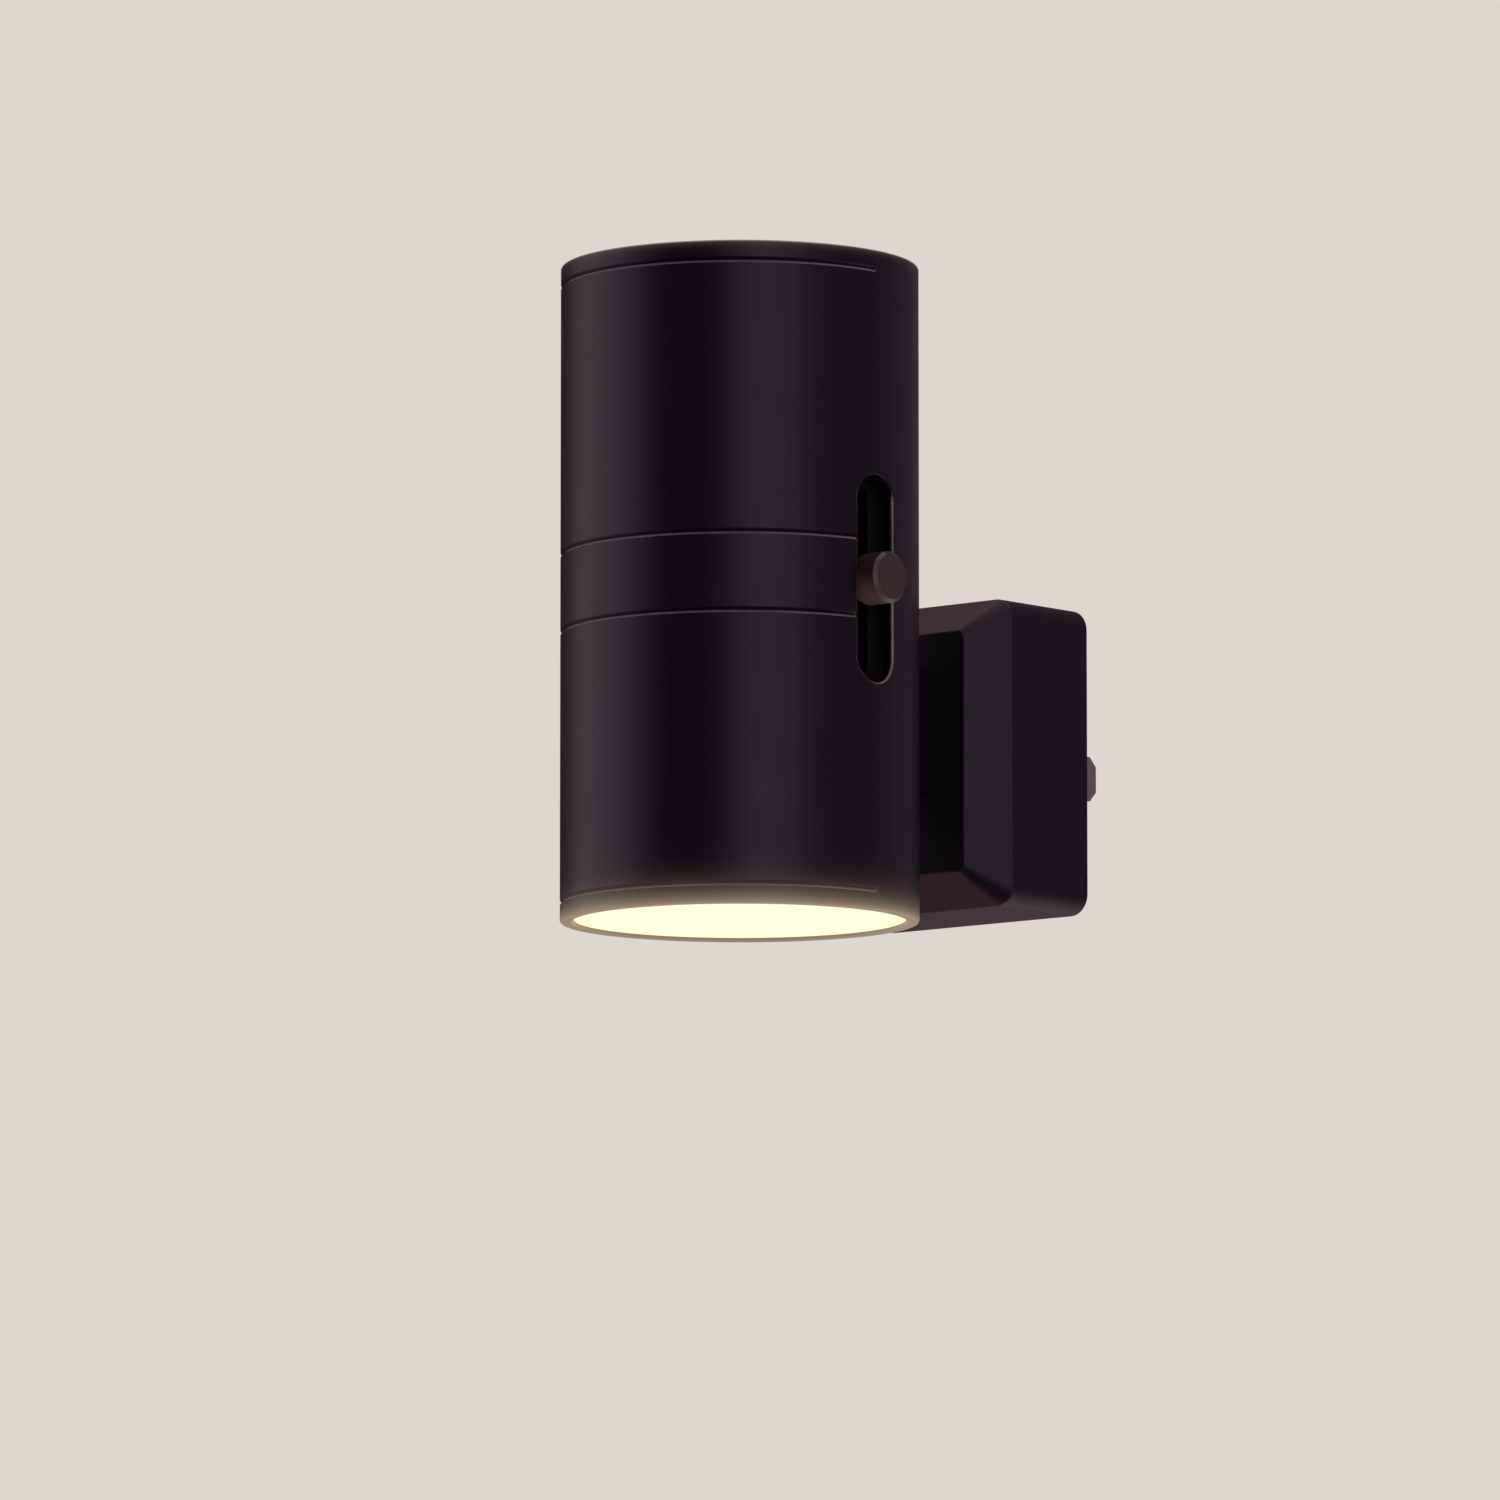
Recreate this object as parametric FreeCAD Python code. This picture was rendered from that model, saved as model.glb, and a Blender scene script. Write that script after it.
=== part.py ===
# Plug-in night light with a round head that throws light up and down, a slide dimmer and a
# two-blade plug. Lengths are in millimetres. The origin is the middle of the flat back face
# that rests on the wall plate, midway between the blades. +Y points into the wall, +Z is up
# and -Y is the front.
import FreeCAD
import Part

import math
import os

from FreeCAD import Vector

# Head: a tube split in two half shells on the plane through its axis
head_radius = 25.0
head_length = 92.0
head_wall = 1.6
head_rise = 20.0
rim_round = 0.35

# V grooves pressed round the front shell
groove_width = 0.8
groove_depth = 0.45
end_band = 2.75
middle_band = 10.9

# Slot for the slider, on the parting plane of the two shells
slot_side_gap = 0.2
slot_end_gap = 0.9
slot_round = 0.3

# Diffusers, one at each end, snapped in by a bead on their skirts
lens_recess = 0.45
lens_thickness = 2.0
lens_gap = 0.1
lens_edge_bevel = 0.2
skirt_wall = 1.3
skirt_depth = 7.4
bead_depth = 5.9
bead_width = 0.8
bead_height = 0.35
ledge_step = 0.9
ledge_thickness = 1.2

# Light engines: a round board and a reflector behind each diffuser
led_board_depth = 17.5
led_board_margin = 2.0
board_thickness = 1.6
board_gap = 0.1
channel_grip = 1.6
channel_rib_thickness = 1.4
reflector_lip = 1.05
reflector_throat_radius = 8.5
reflector_throat_wall = 1.5
reflector_mouth_wall = 0.5
reflector_foot_radius = 12.5
reflector_wall = 1.0
reflector_gap = 0.15
led_count = 6
led_ring_radius = 5.4
led_length = 3.5
led_width = 2.8
led_height = 0.8
led_pocket_radius = 0.95
led_pocket_depth = 0.2

# Screws that pull the two shells together, and the pillars they stand in
shell_screw_side_room = 9.0
shell_screw_case_gap = 1.3
pillar_radius = 3.2
seat_from_parting = 7.0
screw_bite = 6.0

# Tongue along the parting plane
tongue_wall = 0.7
tongue_height = 0.8
tongue_gap = 0.1
tongue_end_room = 1.0

# Neck that joins the head to the base
neck_length = 6.25
neck_width = 15.4
neck_height = 18.0
neck_rise = 3.0
neck_corner = 1.5
window_width = 11.0
window_height = 5.6
window_corner = 1.0
spigot_wall = 0.8
spigot_length = 1.6
spigot_gap = 0.1
neck_screw_spread = 12.0
neck_screw_bite = 5.0

# Base: a rounded box with a bevelled front that holds the mains parts
base_width = 38.5
base_height = 43.5
base_depth = 16.5
base_corner = 3.0
bevel_inset = 4.75
bevel_depth = 5.25
bevel_corner = 1.3
base_wall = 2.0
base_edge_round = 0.4
cover_thickness = 2.6
cover_lip = 1.0
cover_gap = 0.1
cover_screw_inset = 4.3
cover_boss_radius = 2.6
cover_screw_bite = 7.0

# Plug blades, to the usual two-pin size for 125 V outlets
blade_pitch = 12.7
blade_thickness = 1.52
blade_width = 6.35
blade_length = 17.2
blade_tip = 1.6
blade_edge_bevel = 0.25
blade_hole_radius = 1.6
blade_hole_reach = 11.9
blade_gap = 0.08
shoulder_width = 10.0
shoulder_depth = 2.2
tail_width = 3.5
tail_beyond_board = 0.9

# Driver board inside the base
driver_board_depth = 7.6
driver_board_gap = 0.9
board_rib_reach = 2.0
board_rib_spacing = 16.0
board_rib_thickness = 1.5
board_post_radius = 1.5
board_post_x = 13.4

# Parts on the driver board; a chip's size is its width, height and thickness
film_length = 14.0
film_height = 5.8
film_thickness = 6.4
film_round = 0.8
film_margin = 4.35
can_radius = 3.15
can_length = 11.0
can_crimp = 0.35
can_waist_place = 1.6
can_margin = 8.25
rectifier_size = (4.0, 4.8, 2.4)
rectifier_margin = 5.15
rectifier_pitch = 2.54
rectifier_legs = 2
driver_chip_size = (3.9, 4.9, 1.5)
driver_chip_margin = 5.55
driver_chip_pitch = 1.27
driver_chip_legs = 4
chip_lift = 0.15
leg_reach = 1.0
leg_width = 0.4
leg_sheet = 0.25
fuse_radius = 1.6
fuse_length = 8.0
fuse_lift = 0.3
fuse_bevel = 0.5
fuse_wire_radius = 0.25
fuse_leg_radius = 0.38
fuse_wire_reach = 1.0
fuse_margin = 4.35
fuse_drop = 8.6
choke_radius = 3.0
choke_waist = 2.4
choke_height = 6.0
choke_flange = 0.9
choke_margin = 4.95
choke_drop = 8.8

# Slider: a round button, its hub pushed on the tab of a slide potentiometer
travel = 10.0
knob_radius = 3.6
knob_proud = 2.7
knob_chamfer = 0.5
knob_edge_round = 0.1
knob_float = 0.2
hub_radius = 3.2
tab_thickness = 1.2
tab_width = 4.0
tab_in_hub = 1.9
push_fit_gap = 0.05
slide_gap = 0.4

# Guide behind the slot, held between the shell wall and the potentiometer, with a sunk track
# that is narrower than the slot, so that its edge shows as a ledge
guide_side_room = 4.2
guide_end_room = 4.5
guide_sunk = 2.5
guide_plate = 1.9
guide_stand = 2.0
guide_gap = 0.1
guide_rib_thickness = 1.0
guide_stop_thickness = 1.2
guide_stop_length = 30.0

# Slide potentiometer and the control board it stands on
control_board_front_room = 7.1
control_board_rear_room = 5.1
control_board_end_room = 4.5
card_rib_spacing = 28.0
card_rib_thickness = 1.5
card_rib_half_width = 4.0
card_grip = 3.0
case_width = 8.8
case_end_room = 6.5
case_height = 6.6
case_sheet = 0.5
track_thickness = 1.0
carriage_length = 8.0
carriage_height = 2.6
wiper_sheet = 0.25
wiper_gap = 0.05
wiper_finger_width = 0.8
wiper_finger_spread = 3.5
wiper_bridge = 1.5
terminal_size = 0.8
terminal_reach = 1.2
terminal_inset = 2.5
terminal_spread = 3.6

# Leads that run side by side through the neck
lead_radius = 0.6
lead_pitch = 1.4
lead_count = 6
lead_bend = 4.0
lead_drop = 15.0
dimmer_lead_drop = 6.0

# Common screw: shank and pan head
screw_radius = 1.3
screw_head_radius = 2.3
screw_head_height = 1.2
screw_head_bevel = 0.4
screw_hole_gap = 0.2
pilot_gap = 0.03
head_gap = 0.3
pilot_room = 1.0

# Places that follow from the sizes above
head_inner = head_radius - head_wall
head_bottom = head_rise - head_length / 2
head_top = head_rise + head_length / 2
base_front = -(base_depth + bevel_depth)
head_y = base_front - neck_length - head_radius
slot_width = 2 * (knob_radius + slot_side_gap)
slot_length = 2 * (travel + knob_radius + slot_end_gap)
guide_half_width = slot_width / 2 + guide_side_room
guide_half_length = slot_length / 2 + guide_end_room
guide_floor_x = head_radius - guide_sunk
guide_inner_x = guide_floor_x - guide_plate
case_top_x = guide_inner_x - guide_stand
case_length = 2 * (travel + case_end_room)
shell_screw_x = head_radius - shell_screw_side_room
shell_screw_rise = case_length / 2 + pillar_radius + shell_screw_case_gap
control_board_x = case_top_x - case_height
control_board_chord = math.sqrt(head_inner**2 - control_board_x**2)
control_board_front = control_board_chord - control_board_front_room
control_board_rear = control_board_chord - control_board_rear_room
channel_end = led_board_depth + board_thickness + channel_rib_thickness
control_board_height = head_length - 2 * (channel_end + control_board_end_room)
board_face_y = -(driver_board_depth + board_thickness)
board_half_width = base_width / 2 - base_wall - driver_board_gap
board_half_height = base_height / 2 - base_wall - driver_board_gap
film_z = board_half_height - film_margin
can_z = can_margin - board_half_height
rectifier_x = rectifier_margin - board_half_width
driver_chip_x = board_half_width - driver_chip_margin
fuse_x = fuse_margin - board_half_width
choke_x = board_half_width - choke_margin
lead_y = head_y + lead_drop
track_width = 2 * (hub_radius + slot_side_gap)
track_length = 2 * (travel + hub_radius + slot_end_gap)
hub_base_x = guide_floor_x + knob_float
knob_base_x = head_inner - guide_gap + knob_float
knob_face_x = head_radius + knob_proud
pilot_radius = screw_radius + pilot_gap
clearance_radius = screw_radius + screw_hole_gap
screw_seat_radius = screw_head_radius + head_gap
lens_radius = head_inner - lens_gap
ledge_radius = head_inner - ledge_step
led_board_radius = head_inner - led_board_margin
channel_rib_radius = led_board_radius - channel_grip
lip_radius = lens_radius - skirt_wall - reflector_gap
reflector_mouth_radius = lip_radius - reflector_lip

# Aids to modelling: overlap of fused shapes, a reach past the part and how close counts as equal
fuse_overlap = 0.4
beyond = 60.0
same_place = 0.01


def box(x0, x1, y0, y1, z0, z1):
    """Block between two corners."""
    return Part.makeBox(x1 - x0, y1 - y0, z1 - z0, Vector(x0, y0, z0))


def rod(radius, start, direction, length):
    """Round bar from a point, along a direction."""
    return Part.makeCylinder(radius, length, Vector(*start), Vector(*direction))


def joined(shapes):
    """One solid made of shapes that touch or overlap."""
    return shapes[0].multiFuse(shapes[1:]).removeSplitter()


def rounded_outline(width, height, corner, y, middle_z=0.0):
    """Rounded rectangle that faces the wall, at depth y."""
    x, z, c = width / 2, height / 2, corner
    s = c * (1 - math.sqrt(0.5))
    edges = []
    for sx, sz, turn in ((1, 1, 1), (-1, 1, -1), (-1, -1, 1), (1, -1, -1)):
        a = Vector(sx * x, y, middle_z + sz * (z - c))
        m = Vector(sx * (x - s), y, middle_z + sz * (z - s))
        b = Vector(sx * (x - c), y, middle_z + sz * z)
        ends = (a, b) if turn > 0 else (b, a)
        edges.append((ends[0], m, ends[1]))
    wire = []
    for i, (start, middle, end) in enumerate(edges):
        wire.append(Part.Arc(start, middle, end).toShape())
        wire.append(Part.LineSegment(end, edges[(i + 1) % 4][0]).toShape())
    return Part.Wire(wire)


def rounded_block(width, height, corner, y0, y1, middle_z=0.0):
    """Block with rounded long edges, between two depths."""
    face = Part.Face(rounded_outline(width, height, corner, y0, middle_z))
    return face.extrude(Vector(0, y1 - y0, 0))


def obround(width, length, x0, x1):
    """Prism with round ends, standing on the slot's centre line and running along X."""
    straight = length / 2 - width / 2
    ends = [
        rod(width / 2, (x0, head_y, head_rise + side * straight), (1, 0, 0), x1 - x0)
        for side in (1, -1)
    ]
    middle = box(
        x0, x1, head_y - width / 2, head_y + width / 2, head_rise - straight, head_rise + straight
    )
    return joined([middle] + ends)


def turned(points, angle=360.0):
    """Solid turned about the head's axis from points given as radius and height."""
    corners = [Vector(r, head_y, z) for r, z in points]
    face = Part.Face(Part.makePolygon(corners + corners[:1]))
    return face.revolve(Vector(0, head_y, 0), Vector(0, 0, 1), angle)


def head_core(radius):
    """Solid bar on the head's axis, as long as the head."""
    return rod(radius, (0, head_y, head_bottom), (0, 0, 1), head_length)


def depth_to_z(end, depth):
    """Height of a depth measured inwards from the upper (1) or lower (-1) end."""
    return head_rise + end * (head_length / 2 - depth)


def edges_where(shape, test):
    """Edges whose start, middle and end all meet a test."""
    found = []
    for edge in shape.Edges:
        first, last = edge.ParameterRange
        points = [edge.valueAt(first + (last - first) * share) for share in (0, 0.5, 1)]
        if all(test(point) for point in points):
            found.append(edge)
    return found


def axis_distance(point):
    """Distance of a point from the head's axis."""
    return math.hypot(point.x, point.y - head_y)


def near(value, target):
    """Whether two lengths count as the same."""
    return abs(value - target) < same_place


def wall_steps(end):
    """Inside of the tube near one end: snap groove, diffuser ledge and board channel."""
    snap_low = bead_depth - bead_width / 2 - lens_gap
    snap_high = bead_depth + bead_width / 2 + lens_gap
    board_near = led_board_depth - board_gap
    board_far = led_board_depth + board_thickness
    snap_radius = lens_radius + bead_height + lens_gap
    steps = [
        (head_inner, 0.0),
        (head_inner, snap_low),
        (snap_radius, snap_low),
        (snap_radius, snap_high),
        (head_inner, snap_high),
        (head_inner, skirt_depth),
        (ledge_radius, skirt_depth),
        (ledge_radius, skirt_depth + ledge_thickness),
        (head_inner, skirt_depth + ledge_thickness),
        (head_inner, board_near - channel_rib_thickness),
        (channel_rib_radius, board_near - channel_rib_thickness),
        (channel_rib_radius, board_near),
        (head_inner, board_near),
        (head_inner, board_far),
        (channel_rib_radius, board_far),
        (channel_rib_radius, board_far + channel_rib_thickness),
        (head_inner, board_far + channel_rib_thickness),
    ]
    return [(radius, depth_to_z(end, depth)) for radius, depth in steps]


def groove_heights():
    """Heights of the four V grooves, from the lowest up."""
    return [
        head_bottom + end_band,
        head_rise - middle_band / 2,
        head_rise + middle_band / 2,
        head_top - end_band,
    ]


def half_tube(angle, grooved):
    """Half of the tube, turned from +X through the front (angle below 0) or the rear."""
    outside = [(head_radius, head_bottom)]
    for z in groove_heights() if grooved else []:
        outside += [
            (head_radius, z - groove_width / 2),
            (head_radius - groove_depth, z),
            (head_radius, z + groove_width / 2),
        ]
    outside += [(head_radius, head_top)]
    inside = wall_steps(1) + wall_steps(-1)[::-1]
    tube = turned(outside + inside, angle)

    def on_rim(point):
        at_end = near(point.z, head_bottom) or near(point.z, head_top)
        return at_end and near(axis_distance(point), head_radius)

    return tube.makeFillet(rim_round, edges_where(tube, on_rim))


def with_slot(shell):
    """Shell with its half of the slider's slot, the outer edge of the slot rounded."""
    cut = shell.cut(obround(slot_width, slot_length, guide_inner_x - slide_gap, knob_face_x))

    def on_mouth(point):
        inside_length = abs(point.z - head_rise) < slot_length / 2 + same_place
        return inside_length and point.x > 0 and near(axis_distance(point), head_radius)

    return cut.makeFillet(slot_round, edges_where(cut, on_mouth))


def rooted(shape):
    """Part of an inner rib or boss that lies inside the tube, biting a little into its wall."""
    return shape.common(head_core(head_inner + fuse_overlap))


def shell_screw_places():
    """X and Z of the four screws that join the shells."""
    return [(x, head_rise + z) for x in (-shell_screw_x, shell_screw_x)
            for z in (-shell_screw_rise, shell_screw_rise)]


def card_ribs(side):
    """Two notched ribs that grip the control board, on the front (-1) or rear (1) shell."""
    edge = control_board_rear if side > 0 else control_board_front
    board_left = control_board_x - board_thickness
    ribs = []
    for offset in (-card_rib_spacing / 2, card_rib_spacing / 2):
        z0 = head_rise + offset - card_rib_thickness / 2
        z1 = z0 + card_rib_thickness
        near_y = head_y + side * (edge - card_grip)
        far_y = head_y + side * head_radius
        notch_y = head_y + side * (edge + board_gap)
        rib = box(
            board_left - card_rib_half_width, control_board_x + card_rib_half_width,
            min(near_y, far_y), max(near_y, far_y), z0, z1,
        )
        notch = box(
            board_left, control_board_x + board_gap,
            min(near_y, notch_y), max(near_y, notch_y), z0, z1,
        )
        ribs.append(rooted(rib).cut(notch))
    return ribs


def guide_stop(side):
    """Rib that keeps the slot guide from shifting towards the front or rear."""
    inner = head_y + side * (guide_half_width + guide_gap)
    outer = inner + side * guide_stop_thickness
    return rooted(box(
        guide_inner_x - slide_gap, head_radius, min(inner, outer), max(inner, outer),
        head_rise - guide_stop_length / 2, head_rise + guide_stop_length / 2,
    ))


def tongue_zone(radius, height, root=0.0):
    """Strips just behind the parting plane, between the board channels, clear of the guide.

    A root carries them forward into the front shell's wall.
    """
    reach = head_length / 2 - channel_end - tongue_end_room
    ring = head_core(radius).cut(head_core(head_inner))
    strips = ring.common(
        box(-beyond, beyond, head_y - root, head_y + height, head_rise - reach, head_rise + reach)
    )
    guide_reach = guide_half_length + guide_gap
    around_guide = box(
        0, beyond, head_y - beyond, head_y + beyond,
        head_rise - guide_reach, head_rise + guide_reach,
    )
    return strips.cut(around_guide)


def front_shell():
    """Front half of the head: grooved outside, bosses and ribs inside."""
    shell = with_slot(half_tube(-180.0, grooved=True))
    bosses = [
        rooted(rod(pillar_radius, (x, head_y - head_radius, z), (0, 1, 0), head_radius))
        for x, z in shell_screw_places()
    ]
    tongue = tongue_zone(head_inner + tongue_wall, tongue_height, fuse_overlap).Solids
    shell = joined([shell] + bosses + card_ribs(-1) + [guide_stop(-1)] + tongue)
    for x, z in shell_screw_places():
        shell = shell.cut(rod(pilot_radius, (x, head_y, z), (0, -1, 0), screw_bite + pilot_room))
    return shell


def neck():
    """Block from the head's inside wall to the base, with a locating spigot on its end."""
    block = rounded_block(
        neck_width, neck_height, neck_corner, head_y, base_front, neck_rise
    ).cut(head_core(head_inner))
    spigot = rounded_block(
        window_width + 2 * spigot_wall, window_height + 2 * spigot_wall,
        window_corner + spigot_wall, base_front, base_front + spigot_length, neck_rise,
    )
    return joined([block.Solids[0], spigot])


def neck_screw_heights():
    """Heights of the two screws that hold the neck to the base."""
    return [neck_rise - neck_screw_spread / 2, neck_rise + neck_screw_spread / 2]


def rear_shell():
    """Rear half of the head with the neck, open for the leads and the screws."""
    shell = with_slot(half_tube(180.0, grooved=False))
    pillars = [
        rooted(rod(pillar_radius, (x, head_y, z), (0, 1, 0), head_radius))
        for x, z in shell_screw_places()
    ]
    shell = joined([shell, neck()] + pillars + card_ribs(1) + [guide_stop(1)])
    shell = shell.cut(tongue_zone(
        head_inner + tongue_wall + tongue_gap, tongue_height + tongue_gap
    ))
    for x, z in shell_screw_places():
        shell = shell.cut(rod(clearance_radius, (x, head_y, z), (0, 1, 0), head_radius))
        seat = (x, head_y + seat_from_parting, z)
        shell = shell.cut(rod(screw_seat_radius, seat, (0, 1, 0), head_radius))
    shell = shell.cut(rounded_block(
        window_width, window_height, window_corner, head_y + head_inner / 2,
        base_front + spigot_length, neck_rise,
    ))
    for z in neck_screw_heights():
        start = (0, base_front, z)
        shell = shell.cut(rod(pilot_radius, start, (0, -1, 0), neck_screw_bite + pilot_room))
    return shell


def pan_screw(seat, direction, length):
    """Pan-head screw whose bevelled head stands on seat, its shank running along direction."""
    along = Vector(*direction)
    top = Vector(*seat) - along * screw_head_height
    head = Part.makeCylinder(screw_head_radius, screw_head_height, top, along)
    crown = edges_where(head, lambda point: near((point - top).dot(along), 0)
                        and near((point - top).Length, screw_head_radius))
    head = head.makeChamfer(screw_head_bevel, crown)
    return joined([head, rod(screw_radius, seat, direction, length)])


def shell_screws():
    """Four screws that pull the front shell to the rear one."""
    return [
        pan_screw((x, head_y + seat_from_parting, z), (0, -1, 0), seat_from_parting + screw_bite)
        for x, z in shell_screw_places()
    ]


def neck_screws():
    """Two screws driven from inside the base into the neck."""
    return [
        pan_screw((0, base_front + base_wall, z), (0, -1, 0), base_wall + neck_screw_bite)
        for z in neck_screw_heights()
    ]


def diffuser(end):
    """Opal disc with a skirt and a snap bead, set a little below the rim."""
    bead = lens_radius + bead_height
    points = [
        (0.0, lens_recess),
        (lens_radius, lens_recess),
        (lens_radius, bead_depth - bead_width / 2),
        (bead, bead_depth - bead_width / 8),
        (bead, bead_depth + bead_width / 8),
        (lens_radius, bead_depth + bead_width / 2),
        (lens_radius, skirt_depth),
        (lens_radius - skirt_wall, skirt_depth),
        (lens_radius - skirt_wall, lens_recess + lens_thickness),
        (0.0, lens_recess + lens_thickness),
    ]
    disc = turned([(radius, depth_to_z(end, depth)) for radius, depth in points])
    face_z = depth_to_z(end, lens_recess)
    rim = edges_where(
        disc, lambda point: near(point.z, face_z) and near(axis_distance(point), lens_radius)
    )
    return disc.makeChamfer(lens_edge_bevel, rim)


def reflector(end):
    """White cone that stands on the board and opens under the diffuser."""
    mouth = lens_recess + lens_thickness + reflector_gap
    points = [
        (reflector_throat_radius, led_board_depth),
        (reflector_mouth_radius, mouth),
        (lip_radius, mouth),
        (lip_radius, mouth + reflector_wall),
        (reflector_mouth_radius + reflector_mouth_wall, mouth + reflector_wall),
        (reflector_throat_radius + reflector_throat_wall, led_board_depth - reflector_wall),
        (reflector_foot_radius, led_board_depth - reflector_wall),
        (reflector_foot_radius, led_board_depth),
    ]
    return turned([(radius, depth_to_z(end, depth)) for radius, depth in points])


def led_board(end):
    """Round metal-core board held by its edge in the shells' channel."""
    z0, z1 = sorted((depth_to_z(end, led_board_depth),
                     depth_to_z(end, led_board_depth + board_thickness)))
    return rod(led_board_radius, (0, head_y, z0), (0, 0, 1), z1 - z0)


def leds(end):
    """Ring of light-emitting packages, each with a lens pocket, turned to face the middle."""
    z0, z1 = sorted((depth_to_z(end, led_board_depth),
                     depth_to_z(end, led_board_depth - led_height)))
    packages = []
    for i in range(led_count):
        body = box(
            led_ring_radius - led_width / 2, led_ring_radius + led_width / 2,
            -led_length / 2, led_length / 2, z0, z1,
        )
        top = z1 if end > 0 else z0
        pocket = rod(led_pocket_radius, (led_ring_radius, 0, top), (0, 0, -end), led_pocket_depth)
        package = body.cut(pocket)
        package.rotate(Vector(0, 0, 0), Vector(0, 0, 1), 360.0 * i / led_count)
        package.translate(Vector(0, head_y, 0))
        packages.append(package)
    return packages


def base_form(width, height, corner, y0, y1, front_width, front_height, front_corner, y2):
    """Rounded box from y0 to y1 that narrows to a smaller rounded rectangle at y2."""
    block = rounded_block(width, height, corner, y0, y1)
    bevel = Part.makeLoft(
        [rounded_outline(width, height, corner, y1),
         rounded_outline(front_width, front_height, front_corner, y2)], True, True,
    )
    return joined([block, bevel])


def base_outside():
    """Outer form of the base, its front edges softened."""
    form = base_form(
        base_width, base_height, base_corner, 0, -base_depth,
        base_width - 2 * bevel_inset, base_height - 2 * bevel_inset, bevel_corner, base_front,
    )
    rims = edges_where(
        form, lambda point: near(point.y, -base_depth) or near(point.y, base_front)
    )
    return form.makeFillet(base_edge_round, rims)


def base_cavity():
    """Room inside the base, one wall in from the outer form on every side."""
    slope = math.hypot(bevel_inset, bevel_depth)
    straight_end = -base_depth + base_wall * (slope - bevel_depth) / bevel_inset
    shrink = (bevel_inset * (bevel_depth - base_wall) + base_wall * slope) / bevel_depth
    return base_form(
        base_width - 2 * base_wall, base_height - 2 * base_wall, base_corner - base_wall,
        0, straight_end, base_width - 2 * shrink, base_height - 2 * shrink,
        bevel_corner / 2, base_front + base_wall,
    )


def cover_screw_places():
    """X and Z of the four screws in the back cover."""
    x = base_width / 2 - cover_screw_inset
    z = base_height / 2 - cover_screw_inset
    return [(sx * x, sz * z) for sx in (-1, 1) for sz in (-1, 1)]


def base_housing():
    """Moulded shell of the base with screw bosses, board ribs and the window for the neck."""
    outside = base_outside()
    cavity = base_cavity()
    bosses = [
        rod(cover_boss_radius, (x, -cover_thickness, z), (0, -1, 0), base_depth)
        .common(outside) for x, z in cover_screw_places()
    ]
    rib_tip = base_width / 2 - base_wall - board_rib_reach
    rib_root = base_width / 2 - base_wall + fuse_overlap
    half = board_rib_thickness / 2
    ribs = [
        box(min(sx * rib_tip, sx * rib_root), max(sx * rib_tip, sx * rib_root),
            -base_depth, board_face_y, z - half, z + half)
        for sx in (-1, 1) for z in (-board_rib_spacing / 2, board_rib_spacing / 2)
    ]
    housing = joined([outside.cut(cavity)] + bosses + ribs)
    housing = housing.cut(rounded_block(
        base_width - 2 * cover_lip, base_height - 2 * cover_lip, base_corner - cover_lip,
        0, -cover_thickness,
    ))
    housing = housing.cut(rounded_block(
        window_width + 2 * (spigot_wall + spigot_gap),
        window_height + 2 * (spigot_wall + spigot_gap),
        window_corner + spigot_wall + spigot_gap, base_front, base_front + base_wall, neck_rise,
    ))
    for x, z in cover_screw_places():
        start = (x, -cover_thickness, z)
        housing = housing.cut(rod(pilot_radius, start, (0, -1, 0), cover_screw_bite + pilot_room))
    for z in neck_screw_heights():
        housing = housing.cut(rod(clearance_radius, (0, base_front, z), (0, 1, 0), base_wall))
    return housing


def back_cover():
    """Flat plate that closes the base, with slots for the blades and sunk screw seats."""
    inset = cover_lip + cover_gap
    cover = rounded_block(
        base_width - 2 * inset, base_height - 2 * inset, base_corner - inset, 0, -cover_thickness
    )
    posts = [
        rod(board_post_radius, (sx * board_post_x, -cover_thickness + fuse_overlap, 0),
            (0, -1, 0), driver_board_depth - cover_thickness + fuse_overlap)
        for sx in (-1, 1)
    ]
    cover = joined([cover] + posts)
    for side in (-1, 1):
        x, half = side * blade_pitch / 2, blade_thickness / 2 + blade_gap
        reach = blade_width / 2 + blade_gap
        cover = cover.cut(box(x - half, x + half, -cover_thickness, 0, -reach, reach))
    for x, z in cover_screw_places():
        sunk = screw_head_height + head_gap / 2
        cover = cover.cut(rod(clearance_radius, (x, 0, z), (0, -1, 0), cover_thickness))
        cover = cover.cut(rod(screw_seat_radius, (x, 0, z), (0, -1, 0), sunk))
    return cover


def cover_screws():
    """Four screws that hold the back cover on."""
    sunk = screw_head_height + head_gap / 2
    length = cover_thickness - sunk + cover_screw_bite
    return [pan_screw((x, -sunk, z), (0, -1, 0), length) for x, z in cover_screw_places()]


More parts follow.
